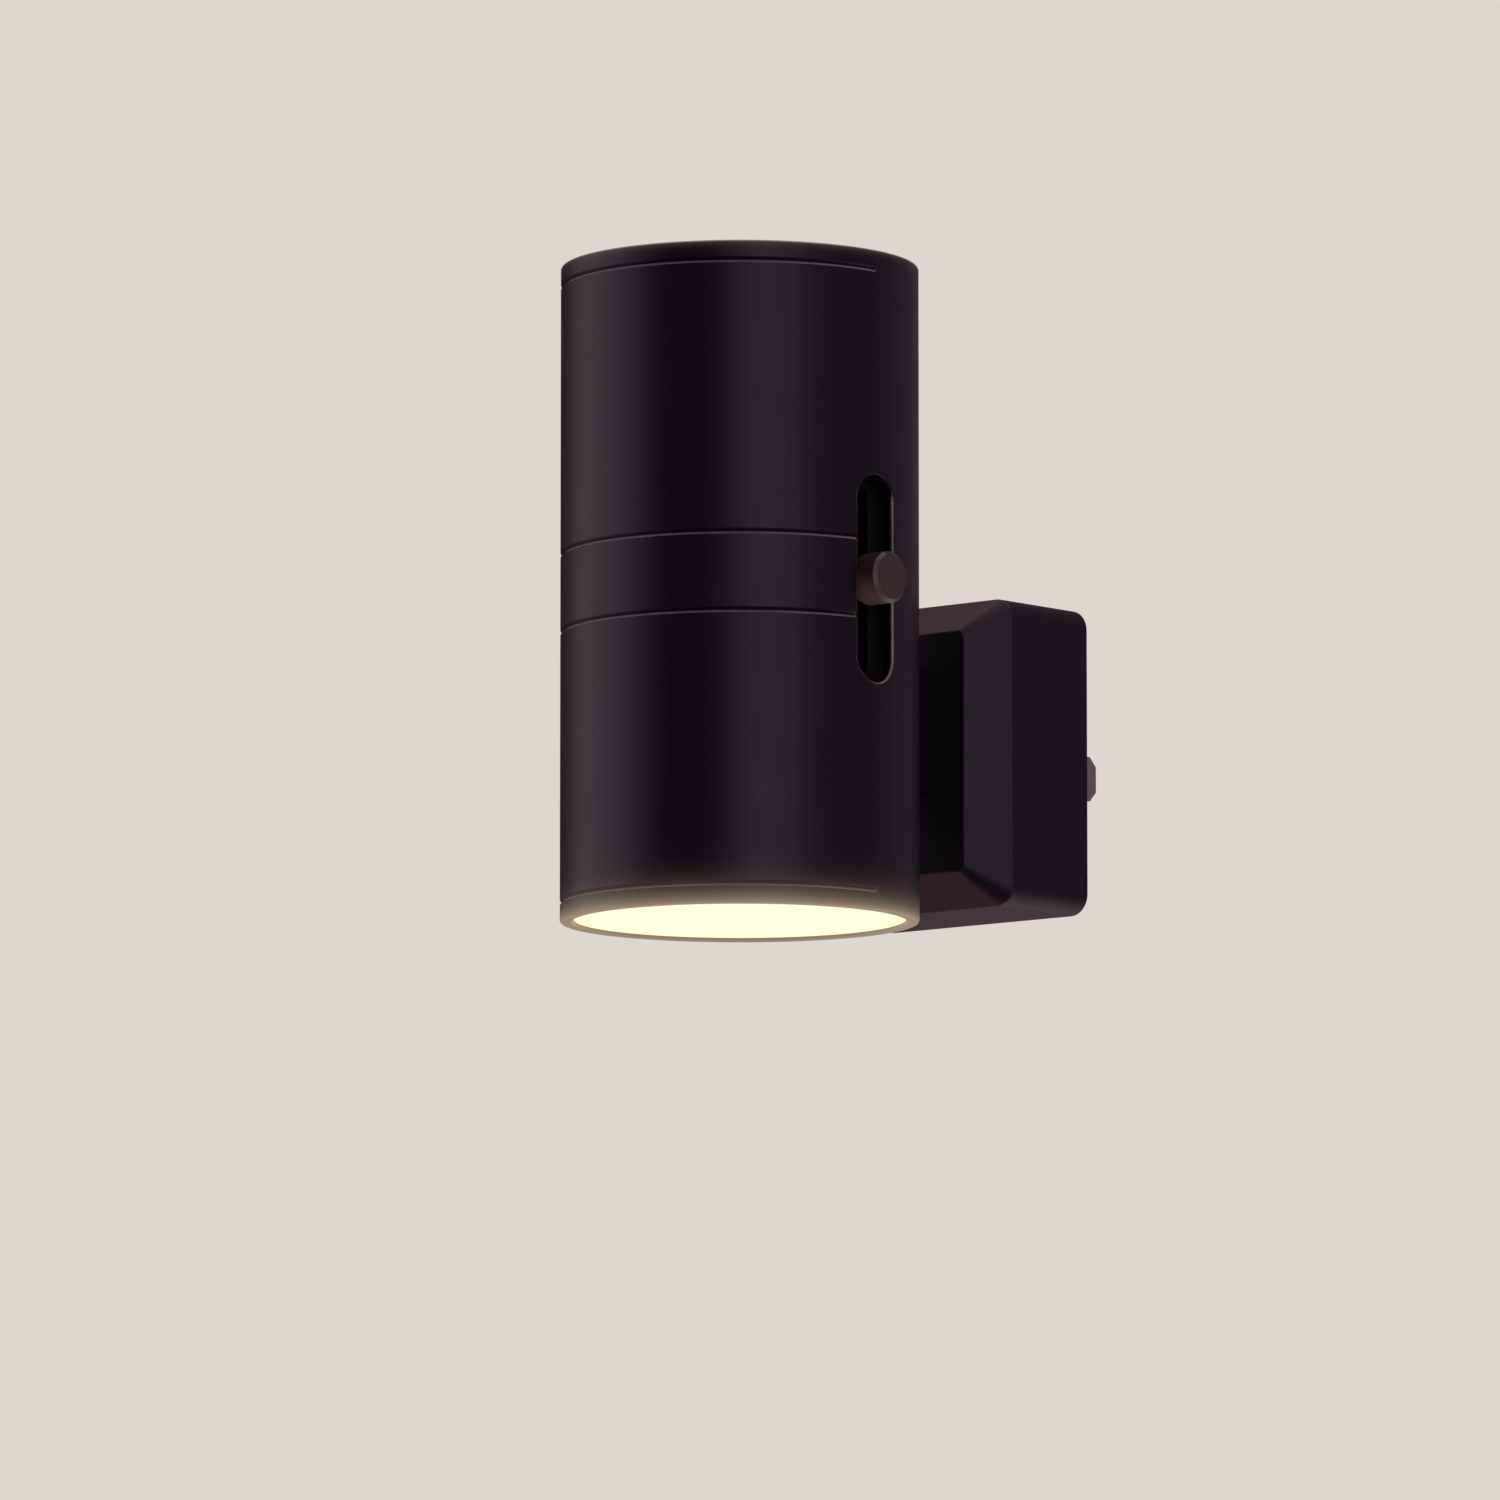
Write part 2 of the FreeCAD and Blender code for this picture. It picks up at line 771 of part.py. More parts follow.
def blade(side):
    """Flat plug blade with a bevelled tip, a shoulder behind the cover and a solder tail."""
    x = side * blade_pitch / 2
    half = blade_thickness / 2
    z = blade_width / 2
    tip = blade_length
    outline = [
        (-cover_thickness, z), (tip - blade_tip, z), (tip, z - blade_tip),
        (tip, -z + blade_tip), (tip - blade_tip, -z), (-cover_thickness, -z),
    ]
    shoulder = -cover_thickness - shoulder_depth
    tail_end = board_face_y - tail_beyond_board
    outline += [
        (-cover_thickness, -shoulder_width / 2), (shoulder, -shoulder_width / 2),
        (shoulder, -tail_width / 2), (tail_end, -tail_width / 2),
        (tail_end, tail_width / 2), (shoulder, tail_width / 2),
        (shoulder, shoulder_width / 2), (-cover_thickness, shoulder_width / 2),
    ]
    corners = [Vector(x - half, y, height) for y, height in outline]
    body = Part.Face(Part.makePolygon(corners + corners[:1])).extrude(Vector(2 * half, 0, 0))
    hole = rod(blade_hole_radius, (x - half, blade_hole_reach, 0), (1, 0, 0), 2 * half)
    body = body.cut(hole)
    tip_edges = edges_where(body, lambda p: near(p.y, tip) and near(abs(p.x - x), half))
    return body.makeChamfer(blade_edge_bevel, tip_edges)


def driver_board():
    """Board in the base with corners cut back from the screw bosses and slots for the tails."""
    x, z = board_half_width, board_half_height
    rear, front = -driver_board_depth, board_face_y
    board = box(-x, x, front, rear, -z, z)
    corner = cover_boss_radius + driver_board_gap
    for sx, sz in cover_screw_places():
        far_x, far_z = math.copysign(beyond, sx), math.copysign(beyond, sz)
        near_x, near_z = sx - math.copysign(corner, sx), sz - math.copysign(corner, sz)
        board = board.cut(box(
            min(near_x, far_x), max(near_x, far_x), front, rear,
            min(near_z, far_z), max(near_z, far_z),
        ))
    for side in (-1, 1):
        middle = side * blade_pitch / 2
        half = blade_thickness / 2 + board_gap
        reach = tail_width / 2 + board_gap
        board = board.cut(box(middle - half, middle + half, front, rear, -reach, reach))
    return board


def slot_guide():
    """Plate behind the slot with a sunk track for the button and a slit for the tab."""
    plate = head_core(head_inner - guide_gap).common(box(
        guide_inner_x, head_radius, head_y - guide_half_width, head_y + guide_half_width,
        head_rise - guide_half_length, head_rise + guide_half_length,
    ))
    rib_y = case_width / 2 - guide_rib_thickness
    ribs = [
        box(case_top_x, guide_inner_x,
            min(side * rib_y, side * case_width / 2) + head_y,
            max(side * rib_y, side * case_width / 2) + head_y,
            head_rise - case_length / 2, head_rise + case_length / 2)
        for side in (-1, 1)
    ]
    guide = joined([plate] + ribs)
    track = obround(track_width, track_length, guide_floor_x, head_radius)
    slit = obround(
        tab_thickness + 2 * slide_gap, 2 * (travel + slide_gap) + tab_width + tab_thickness,
        case_top_x, head_radius,
    )
    return guide.cut(track).cut(slit)


def slider_knob():
    """Round button with a bevelled face, on a narrower hub with a socket for the tab."""
    knob = rod(knob_radius, (knob_base_x, head_y, head_rise), (1, 0, 0), knob_face_x - knob_base_x)

    def from_axis(point):
        return math.hypot(point.y - head_y, point.z - head_rise)

    face_edge = edges_where(knob, lambda point: near(point.x, knob_face_x)
                            and near(from_axis(point), knob_radius))
    knob = knob.makeChamfer(knob_chamfer, face_edge)
    bevel_edges = [
        edge for x, radius in ((knob_face_x, knob_radius - knob_chamfer),
                               (knob_face_x - knob_chamfer, knob_radius))
        for edge in edges_where(knob, lambda point, x=x, radius=radius: near(point.x, x)
                                and near(from_axis(point), radius))
    ]
    knob = knob.makeFillet(knob_edge_round, bevel_edges)
    hub = rod(hub_radius, (hub_base_x, head_y, head_rise), (1, 0, 0), knob_base_x - hub_base_x)
    half = tab_thickness / 2 + push_fit_gap
    reach = tab_width / 2 + push_fit_gap
    return joined([knob, hub]).cut(box(
        hub_base_x, hub_base_x + tab_in_hub,
        head_y - half, head_y + half, head_rise - reach, head_rise + reach,
    ))


def slider_carriage():
    """Moulded carriage of the potentiometer with the tab that carries the button."""
    top = case_top_x - case_sheet - slide_gap
    half = case_width / 2 - case_sheet - slide_gap
    block = box(
        top - carriage_height, top, head_y - half, head_y + half,
        head_rise - carriage_length / 2, head_rise + carriage_length / 2,
    )
    tab = box(
        top, hub_base_x + tab_in_hub, head_y - tab_thickness / 2, head_y + tab_thickness / 2,
        head_rise - tab_width / 2, head_rise + tab_width / 2,
    )
    return joined([block, tab])


def slider_wiper():
    """Spring strip under the carriage with two fingers that lean on the track."""
    plate_top = case_top_x - case_sheet - slide_gap - carriage_height
    track_top = control_board_x + track_thickness + wiper_gap
    half = carriage_length / 2
    bow = [
        (plate_top, -half), (plate_top, half), (plate_top - wiper_sheet, half),
        (plate_top - wiper_sheet, -half + wiper_sheet), (track_top + wiper_sheet, 0.0),
        (track_top, -wiper_sheet), (track_top, -3 * wiper_sheet),
        (plate_top - wiper_sheet, -half),
    ]
    fingers = []
    for side in (-1, 1):
        y = head_y + side * wiper_finger_spread / 2 - wiper_finger_width / 2
        corners = [Vector(px, y, head_rise + pz) for px, pz in bow]
        face = Part.Face(Part.makePolygon(corners + corners[:1]))
        fingers.append(face.extrude(Vector(0, wiper_finger_width, 0)))
    bridge = box(
        plate_top - wiper_sheet, plate_top,
        head_y - wiper_finger_spread / 2, head_y + wiper_finger_spread / 2,
        head_rise + half - wiper_bridge, head_rise + half,
    )
    return joined([bridge] + fingers)


def dimmer_case():
    """Folded sheet case of the potentiometer, open below and slit along its top."""
    z0, z1 = head_rise - case_length / 2, head_rise + case_length / 2
    outer = box(
        control_board_x, case_top_x, head_y - case_width / 2, head_y + case_width / 2, z0, z1
    )
    inner = box(
        control_board_x, case_top_x - case_sheet,
        head_y - case_width / 2 + case_sheet, head_y + case_width / 2 - case_sheet,
        z0 + case_sheet, z1 - case_sheet,
    )
    slit = obround(
        tab_thickness + 2 * slide_gap, 2 * (travel + slide_gap) + tab_width + tab_thickness,
        control_board_x + case_sheet, case_top_x + case_sheet,
    )
    return outer.cut(inner).cut(slit)


def dimmer_track():
    """Resistor strip on the floor of the case."""
    clear = case_sheet + board_gap
    return box(
        control_board_x, control_board_x + track_thickness,
        head_y - case_width / 2 + clear, head_y + case_width / 2 - clear,
        head_rise - case_length / 2 + clear, head_rise + case_length / 2 - clear,
    )


def terminal_places():
    """Y and Z of the pins under the potentiometer."""
    end, side = case_length / 2 - terminal_inset, terminal_spread / 2
    return [
        (head_y - side, head_rise - end), (head_y + side, head_rise - end), (head_y, head_rise + end),
    ]


def dimmer_terminals():
    """Pins that pass from the track through the control board."""
    half = terminal_size / 2
    back = control_board_x - board_thickness - terminal_reach
    return [
        box(back, control_board_x, y - half, y + half, z - half, z + half)
        for y, z in terminal_places()
    ]


def control_board():
    """Board that carries the potentiometer, gripped by the ribs of both shells."""
    board = box(
        control_board_x - board_thickness, control_board_x,
        head_y - control_board_front, head_y + control_board_rear,
        head_rise - control_board_height / 2, head_rise + control_board_height / 2,
    )
    for y, z in terminal_places():
        start = (control_board_x - board_thickness, y, z)
        board = board.cut(rod(terminal_size, start, (1, 0, 0), board_thickness))
    return board


def lead_places(pair):
    """X of the two leads of one pair; the three pairs lie side by side in the neck."""
    middle = (lead_count - 1) / 2
    return [(2 * pair + i - middle) * lead_pitch for i in (0, 1)]


def bent_lead(points):
    """Round lead along straight runs joined by arcs."""
    edges = []
    start = Vector(*points[0])
    for i in range(1, len(points) - 1):
        corner, after = Vector(*points[i]), Vector(*points[i + 1])
        into = (corner - start).normalize()
        out = (after - corner).normalize()
        arc_start = corner - into * lead_bend
        arc_end = corner + out * lead_bend
        middle = corner + (out - into) * (lead_bend * (1 - math.sqrt(0.5)))
        edges.append(Part.LineSegment(start, arc_start).toShape())
        edges.append(Part.Arc(arc_start, middle, arc_end).toShape())
        start = arc_end
    edges.append(Part.LineSegment(start, Vector(*points[-1])).toShape())
    path = Part.Wire(edges)
    direction = Vector(*points[1]) - Vector(*points[0])
    section = Part.Wire(Part.makeCircle(lead_radius, Vector(*points[0]), direction))
    return path.makePipeShell([section], True, False)


def led_leads(end):
    """Two leads from the driver board through the neck to the back of one round board."""
    z_end = depth_to_z(end, led_board_depth + board_thickness)
    pair = 0 if end > 0 else 1
    return [
        bent_lead([(x, board_face_y, neck_rise), (x, lead_y, neck_rise), (x, lead_y, z_end)])
        for x in lead_places(pair)
    ]


def dimmer_leads():
    """Two leads from the driver board through the neck to the control board."""
    board_back = control_board_x - board_thickness
    leads = []
    for i, x in enumerate(lead_places(2)):
        turn_y = lead_y - dimmer_lead_drop + i * lead_pitch
        leads.append(bent_lead([
            (x, board_face_y, neck_rise), (x, turn_y, neck_rise), (board_back, turn_y, neck_rise),
        ]))
    return leads


def film_capacitor():
    """Dipped box capacitor above the neck window."""
    body = box(
        -film_length / 2, film_length / 2, board_face_y - film_thickness, board_face_y,
        film_z - film_height / 2, film_z + film_height / 2,
    )
    return body.makeFillet(film_round, edges_where(body, lambda p: p.y < board_face_y - same_place))


def smoothing_capacitor():
    """Round electrolytic capacitor lying below the neck window, waisted near one end."""
    axis_y = board_face_y - can_radius
    half = can_length / 2
    waist = half - can_waist_place
    profile = [
        (-half, 0), (-half, can_radius - can_crimp), (can_crimp - half, can_radius),
        (-waist - can_crimp, can_radius), (-waist, can_radius - can_crimp),
        (-waist + can_crimp, can_radius), (half - can_crimp, can_radius),
        (half, can_radius - can_crimp), (half, 0),
    ]
    corners = [Vector(x, axis_y - radius, can_z) for x, radius in profile]
    face = Part.Face(Part.makePolygon(corners + corners[:1]))
    return face.revolve(Vector(0, axis_y, can_z), Vector(1, 0, 0), 360)


def chip(width, height, thickness, centre_x, legs, leg_pitch):
    """Moulded chip level with the neck, standing on gull-wing legs down both sides."""
    top = board_face_y - chip_lift - thickness
    pieces = [box(
        centre_x - width / 2, centre_x + width / 2, top, board_face_y - chip_lift,
        neck_rise - height / 2, neck_rise + height / 2,
    )]
    for side in (-1, 1):
        inner = centre_x + side * width / 2
        outer = inner + side * leg_reach
        foot = outer - side * leg_sheet
        for i in range(legs):
            z = neck_rise + (i - (legs - 1) / 2) * leg_pitch
            z0, z1 = z - leg_width / 2, z + leg_width / 2
            shoulder = top + thickness / 2
            pieces += [
                box(min(inner, outer), max(inner, outer), shoulder, shoulder + leg_sheet, z0, z1),
                box(min(foot, outer), max(foot, outer), shoulder, board_face_y, z0, z1),
            ]
    return joined(pieces)


def fuse_resistor():
    """Fusible resistor with bevelled ends, lying on the board on its bent wires."""
    y = board_face_y - fuse_radius - fuse_lift
    body = rod(fuse_radius, (fuse_x, y, -fuse_drop - fuse_length / 2), (0, 0, 1), fuse_length)
    ends = edges_where(body, lambda p: near(abs(p.z + fuse_drop), fuse_length / 2)
                       and near(math.hypot(p.x - fuse_x, p.y - y), fuse_radius))
    pieces = [body.makeChamfer(fuse_bevel, ends)]
    reach = fuse_length + 2 * fuse_wire_reach
    pieces.append(rod(fuse_wire_radius, (fuse_x, y, -fuse_drop - reach / 2), (0, 0, 1), reach))
    for z in (-fuse_drop - reach / 2, -fuse_drop + reach / 2):
        leg_start = y - fuse_leg_radius
        pieces.append(rod(
            fuse_leg_radius, (fuse_x, leg_start, z), (0, 1, 0), board_face_y - leg_start
        ))
    return joined(pieces)


def filter_choke():
    """Drum core choke: two flanges and a waist for its winding."""
    top = board_face_y - choke_height
    return joined([
        rod(choke_radius, (choke_x, board_face_y, -choke_drop), (0, -1, 0), choke_flange),
        rod(choke_waist, (choke_x, board_face_y, -choke_drop), (0, -1, 0), choke_height),
        rod(choke_radius, (choke_x, top, -choke_drop), (0, 1, 0), choke_flange),
    ])


def write(name, piece):
    """Write one node; a list of solids becomes a group of separate solids."""
    shape = Part.makeCompound(piece) if isinstance(piece, list) else piece
    solids = len(shape.Solids)
    valid = all(solid.isValid() for solid in shape.Solids)
    print(f"{name}: {solids} solid(s), {shape.Volume:.1f} mm3, valid {valid}")
    shape.exportStep(f"parts/{name}.step")


def main():
    os.makedirs("parts", exist_ok=True)
    nodes = {
        "front_shell": front_shell(),
        "rear_shell": rear_shell(),
        "shell_screws": shell_screws(),
        "neck_screws": neck_screws(),
        "base_housing": base_housing(),
        "back_cover": back_cover(),
        "cover_screws": cover_screws(),
        "line_blade": blade(-1),
        "neutral_blade": blade(1),
        "driver_board": driver_board(),
        "film_capacitor": film_capacitor(),
        "smoothing_capacitor": smoothing_capacitor(),
        "bridge_rectifier": chip(*rectifier_size, rectifier_x, rectifier_legs, rectifier_pitch),
        "driver_chip": chip(*driver_chip_size, driver_chip_x, driver_chip_legs, driver_chip_pitch),
        "fuse_resistor": fuse_resistor(),
        "filter_choke": filter_choke(),
        "slot_guide": slot_guide(),
        "slider_knob": slider_knob(),
        "slider_carriage": slider_carriage(),
        "slider_wiper": slider_wiper(),
        "dimmer_case": dimmer_case(),
        "dimmer_track": dimmer_track(),
        "dimmer_terminals": dimmer_terminals(),
        "control_board": control_board(),
        "dimmer_leads": dimmer_leads(),
    }
    for end, word in ((1, "upper"), (-1, "lower")):
        nodes[f"{word}_diffuser"] = diffuser(end)
        nodes[f"{word}_reflector"] = reflector(end)
        nodes[f"{word}_led_board"] = led_board(end)
        nodes[f"{word}_leds"] = leds(end)
        nodes[f"{word}_led_leads"] = led_leads(end)
    for name, piece in nodes.items():
        write(name, piece)


main()
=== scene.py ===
"""Looks of a plug-in night light: a satin black tube that glows at both ends, on a bevelled plug base."""

import logging
import math
from dataclasses import dataclass, field
from enum import Enum

import bmesh
import bpy
from mathutils import Matrix, Vector


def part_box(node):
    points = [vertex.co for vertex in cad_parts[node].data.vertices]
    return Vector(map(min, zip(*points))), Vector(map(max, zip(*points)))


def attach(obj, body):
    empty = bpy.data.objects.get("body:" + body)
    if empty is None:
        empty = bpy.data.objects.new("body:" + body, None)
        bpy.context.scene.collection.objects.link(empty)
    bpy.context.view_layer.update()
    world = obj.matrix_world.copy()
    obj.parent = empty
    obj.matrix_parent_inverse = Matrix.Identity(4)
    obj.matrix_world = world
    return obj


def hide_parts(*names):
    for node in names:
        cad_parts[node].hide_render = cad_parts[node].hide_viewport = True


log = logging.getLogger("night_light")
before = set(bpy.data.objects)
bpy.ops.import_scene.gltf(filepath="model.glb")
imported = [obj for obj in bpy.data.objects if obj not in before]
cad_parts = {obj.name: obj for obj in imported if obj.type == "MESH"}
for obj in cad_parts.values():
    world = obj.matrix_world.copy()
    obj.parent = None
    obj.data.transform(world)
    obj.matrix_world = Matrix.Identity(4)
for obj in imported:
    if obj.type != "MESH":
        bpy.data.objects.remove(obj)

MM = 0.001
CORNER_SAMPLES = 8
# Blender's noise seldom leaves the range between these two values.
NOISE_LOW, NOISE_HIGH = 0.3, 0.7
NOISE_ROUGHNESS = 0.55
# Octaves of noise: few for an even grain, more for patches with ragged edges.
GRAIN_OCTAVES, PAINT_OCTAVES, PATCH_OCTAVES, HANDLING_OCTAVES = 2.0, 3.0, 4.0, 5.0
# Taken from the frame, in millimetres. The lens is round, so the tube's axis runs through its middle.
TUBE_BOTTOM, TUBE_TOP = (corner.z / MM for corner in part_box("front_shell"))
TUBE_AXIS_Y = -sum(corner.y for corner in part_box("lower_diffuser")) / 2 / MM


def linear(code: str) -> tuple[float, float, float, float]:
    """Turn an sRGB hex colour into linear light, by the sRGB standard's curve.

    Args:
        code: colour as '#rrggbb'.

    Returns:
        Red, green, blue and an alpha of 1.
    """
    shares = [int(code[i:i + 2], 16) / 255 for i in (1, 3, 5)]
    light = [s / 12.92 if s <= 0.04045 else ((s + 0.055) / 1.055) ** 2.4 for s in shares]
    return (light[0], light[1], light[2], 1.0)


def add_node(
    tree: bpy.types.NodeTree, kind: str, settings: dict | None = None, links: dict | None = None
) -> bpy.types.Node:
    """Add one node, set its values and link its inputs.

    Args:
        tree: tree that takes the node.
        kind: Blender's name of the node's type.
        settings: input name or number, or property name, to value.
        links: input name or number to the output that feeds it.

    Returns:
        The new node.
    """
    node = tree.nodes.new(kind)
    for name, value in (settings or {}).items():
        if isinstance(name, int) or name in node.inputs:
            node.inputs[name].default_value = value
        else:
            setattr(node, name, value)
    for name, output in (links or {}).items():
        tree.links.new(output, node.inputs[name])
    return node


def new_material(name: str) -> tuple[bpy.types.Material, bpy.types.NodeTree]:
    """Start an empty node material.

    Args:
        name: name that says what the real material is.

    Returns:
        The material and its emptied node tree.
    """
    material = bpy.data.materials.new(name)
    material.use_nodes = True
    material.node_tree.nodes.clear()
    return material, material.node_tree


def noise(tree: bpy.types.NodeTree, spacing_mm: float, octaves: float) -> bpy.types.Node:
    """Add noise whose blotches are a real distance apart.

    Args:
        tree: tree that takes the nodes.
        spacing_mm: distance from blotch to blotch in millimetres.
        octaves: octaves of finer noise.

    Returns:
        The noise texture node.
    """
    place = add_node(tree, "ShaderNodeTexCoord")
    return add_node(
        tree, "ShaderNodeTexNoise",
        {"Scale": 1.0 / (spacing_mm * MM), "Detail": octaves, "Roughness": NOISE_ROUGHNESS},
        {"Vector": place.outputs["Object"]},
    )


def spread(
    tree: bpy.types.NodeTree, source: bpy.types.NodeSocket, low: float, high: float
) -> bpy.types.NodeSocket:
    """Map noise to a range of values.

    Args:
        tree: tree that takes the node.
        source: noise between 0 and 1.
        low: value where the noise is at NOISE_LOW.
        high: value where the noise is at NOISE_HIGH.

    Returns:
        The mapped output.
    """
    node = add_node(
        tree, "ShaderNodeMapRange",
        {"From Min": NOISE_LOW, "From Max": NOISE_HIGH, "To Min": low, "To Max": high}, {"Value": source},
    )
    return node.outputs["Result"]


def ramp(
    tree: bpy.types.NodeTree, source: bpy.types.NodeSocket, start: float, full: float
) -> bpy.types.NodeSocket:
    """Map a value to a share that goes from 0 at start to 1 at full, and stays there on both sides.

    Args:
        tree: tree that takes the node.
        source: the value.
        start: value where the share is 0.
        full: value where it is 1; it may be lower than start.

    Returns:
        The share's output.
    """
    node = add_node(tree, "ShaderNodeMapRange", {"From Min": start, "From Max": full}, {"Value": source})
    return node.outputs["Result"]


def axis_distance(tree: bpy.types.NodeTree, axis_y_mm: float) -> bpy.types.NodeSocket:
    """Work out a point's distance from the tube's axis.

    Args:
        tree: tree that takes the nodes.
        axis_y_mm: where the axis is, from the wall.

    Returns:
        The output with the distance in metres.
    """
    place = add_node(tree, "ShaderNodeTexCoord")
    middle = add_node(
        tree, "ShaderNodeVectorMath", {"operation": "ADD", 1: (0.0, axis_y_mm * MM, 0.0)},
        {0: place.outputs["Object"]},
    )
    flat = add_node(
        tree, "ShaderNodeVectorMath", {"operation": "MULTIPLY", 1: (1.0, 1.0, 0.0)}, {0: middle.outputs[0]}
    )
    distance = add_node(tree, "ShaderNodeVectorMath", {"operation": "LENGTH"}, {0: flat.outputs[0]})
    return distance.outputs["Value"]


@dataclass(frozen=True)
class PaintedEndGlow:
    """Light of a lit lens on the plastic round it, painted as a faint glow, strongest at the tube's end.

    Attributes:
        end_mm: height of the tube's end.
        side: 1 where the plastic lies above that end, -1 where it lies below.
        strength: brightness at the very end, where 1 is white.
        reach_mm: distance over which it falls to 37 percent.
    """

    end_mm: float
    side: int
    strength: float
    reach_mm: float

    def build(self, tree: bpy.types.NodeTree) -> bpy.types.NodeSocket:
        """Add the nodes that work out the painted glow from the height.

        Args:
            tree: tree that takes the nodes.

        Returns:
            The output with the painted glow's brightness.
        """
        place = add_node(tree, "ShaderNodeTexCoord")
        axes = add_node(tree, "ShaderNodeSeparateXYZ", links={0: place.outputs["Object"]})
        rate = -self.side / (self.reach_mm * MM)
        depth = add_node(
            tree, "ShaderNodeMath", {"operation": "MULTIPLY_ADD", 1: rate, 2: -rate * self.end_mm * MM},
            {0: axes.outputs["Z"]},
        )
        fall = add_node(tree, "ShaderNodeMath", {"operation": "EXPONENT"}, {0: depth.outputs[0]})
        level = add_node(
            tree, "ShaderNodeMath", {"operation": "MULTIPLY", 1: self.strength}, {0: fall.outputs[0]}
        )
        return level.outputs[0]


@dataclass(frozen=True)
class MouldedPlastic:
    """Injection-moulded plastic with a fine spark-eroded grain.

    Attributes:
        name: material's name.
        colour: main colour in sRGB hex.
        second: colour of the faint mottling from the melt's flow.
        roughness: middle of the roughness.
        roughness_spread: how far the roughness wanders to each side.
        grain_mm: spacing of the moulded grain; on the black housings it is drawn about three times
            coarser than the real 0.1 mm, so that the picture's pixels can show it.
        relief_mm: height of the grain.
        ior: index of refraction.
        specular: share of the dielectric reflection, 0.5 being the full one.
        sheen: tint of the reflection seen straight on.
        corner_mm: radius to which the light sees its sharp corners rounded.
        painted_glow: colour of the lenses' light, painted on the plastic as a glow.
        painted_glows: painted glow at the tube's ends.
        flow_mm: spacing of the mottling.
        handling_mm: spacing of the patches that hands have made duller or shinier.
    """

    name: str
    colour: str
    second: str
    roughness: float
    roughness_spread: float = 0.03
    grain_mm: float = 0.35
    relief_mm: float = 0.004
    ior: float = 1.5
    specular: float = 0.5
    sheen: str = "#ffffff"
    corner_mm: float = 0.12
    # Colour of the lenses' light, painted on the plastic as a glow.
    painted_glow: str = "#ffe3bd"
    painted_glows: tuple[PaintedEndGlow, ...] = ()
    flow_mm: float = 14.0
    handling_mm: float = 6.0

    def build(self) -> bpy.types.Material:
        """Build and return the node material."""
        material, tree = new_material(self.name)
        handling = noise(tree, self.handling_mm, HANDLING_OCTAVES)
        grain = noise(tree, self.grain_mm, GRAIN_OCTAVES)
        corner = add_node(
            tree, "ShaderNodeBevel", {"samples": CORNER_SAMPLES, "Radius": self.corner_mm * MM}
        )
        bump = add_node(
            tree, "ShaderNodeBump", {"Strength": 1.0, "Distance": self.relief_mm * MM},
            {"Height": grain.outputs["Fac"], "Normal": corner.outputs["Normal"]},
        )
        shader = add_node(
            tree, "ShaderNodeBsdfPrincipled",
            {"IOR": self.ior, "Specular IOR Level": self.specular, "Specular Tint": linear(self.sheen),
             "Emission Color": linear(self.painted_glow)},
            {
                "Base Color": self.body_colour(tree),
                "Roughness": spread(
                    tree, handling.outputs["Fac"],
                    self.roughness - self.roughness_spread, self.roughness + self.roughness_spread,
                ),
                "Normal": bump.outputs["Normal"],
            },
        )
        # Where the finish has them, the lenses' light on the plastic is painted here as a faint emission.
        self.add_painted_glows(tree, shader)
        add_node(tree, "ShaderNodeOutputMaterial", links={"Surface": shader.outputs["BSDF"]})
        return material

    def body_colour(self, tree: bpy.types.NodeTree) -> bpy.types.NodeSocket:
        """Add the plastic's colour, faintly mottled by the melt's flow.

        Args:
            tree: tree that takes the nodes.

        Returns:
            The output with the colour.
        """
        flow = noise(tree, self.flow_mm, PATCH_OCTAVES)
        colour = add_node(
            tree, "ShaderNodeMix", {"data_type": "RGBA", 6: linear(self.colour), 7: linear(self.second)},
            {0: spread(tree, flow.outputs["Fac"], 0.0, 1.0)},
        )
        return colour.outputs[2]

    def add_painted_glows(self, tree: bpy.types.NodeTree, shader: bpy.types.Node) -> None:
        """Add up the lenses' light painted on the plastic as a glow, and give it to the shader as
        emission.

        Args:
            tree: tree that takes the nodes.
            shader: the plastic's shader.
        """
        strength = shader.inputs["Emission Strength"]
        strength.default_value = 0.0
        levels = [painted_glow.build(tree) for painted_glow in self.painted_glows]
        while len(levels) > 1:
            total = add_node(
                tree, "ShaderNodeMath", {"operation": "ADD"}, {0: levels.pop(), 1: levels.pop()}
            )
            levels.append(total.outputs[0])
        for level in levels:
            tree.links.new(level, strength)


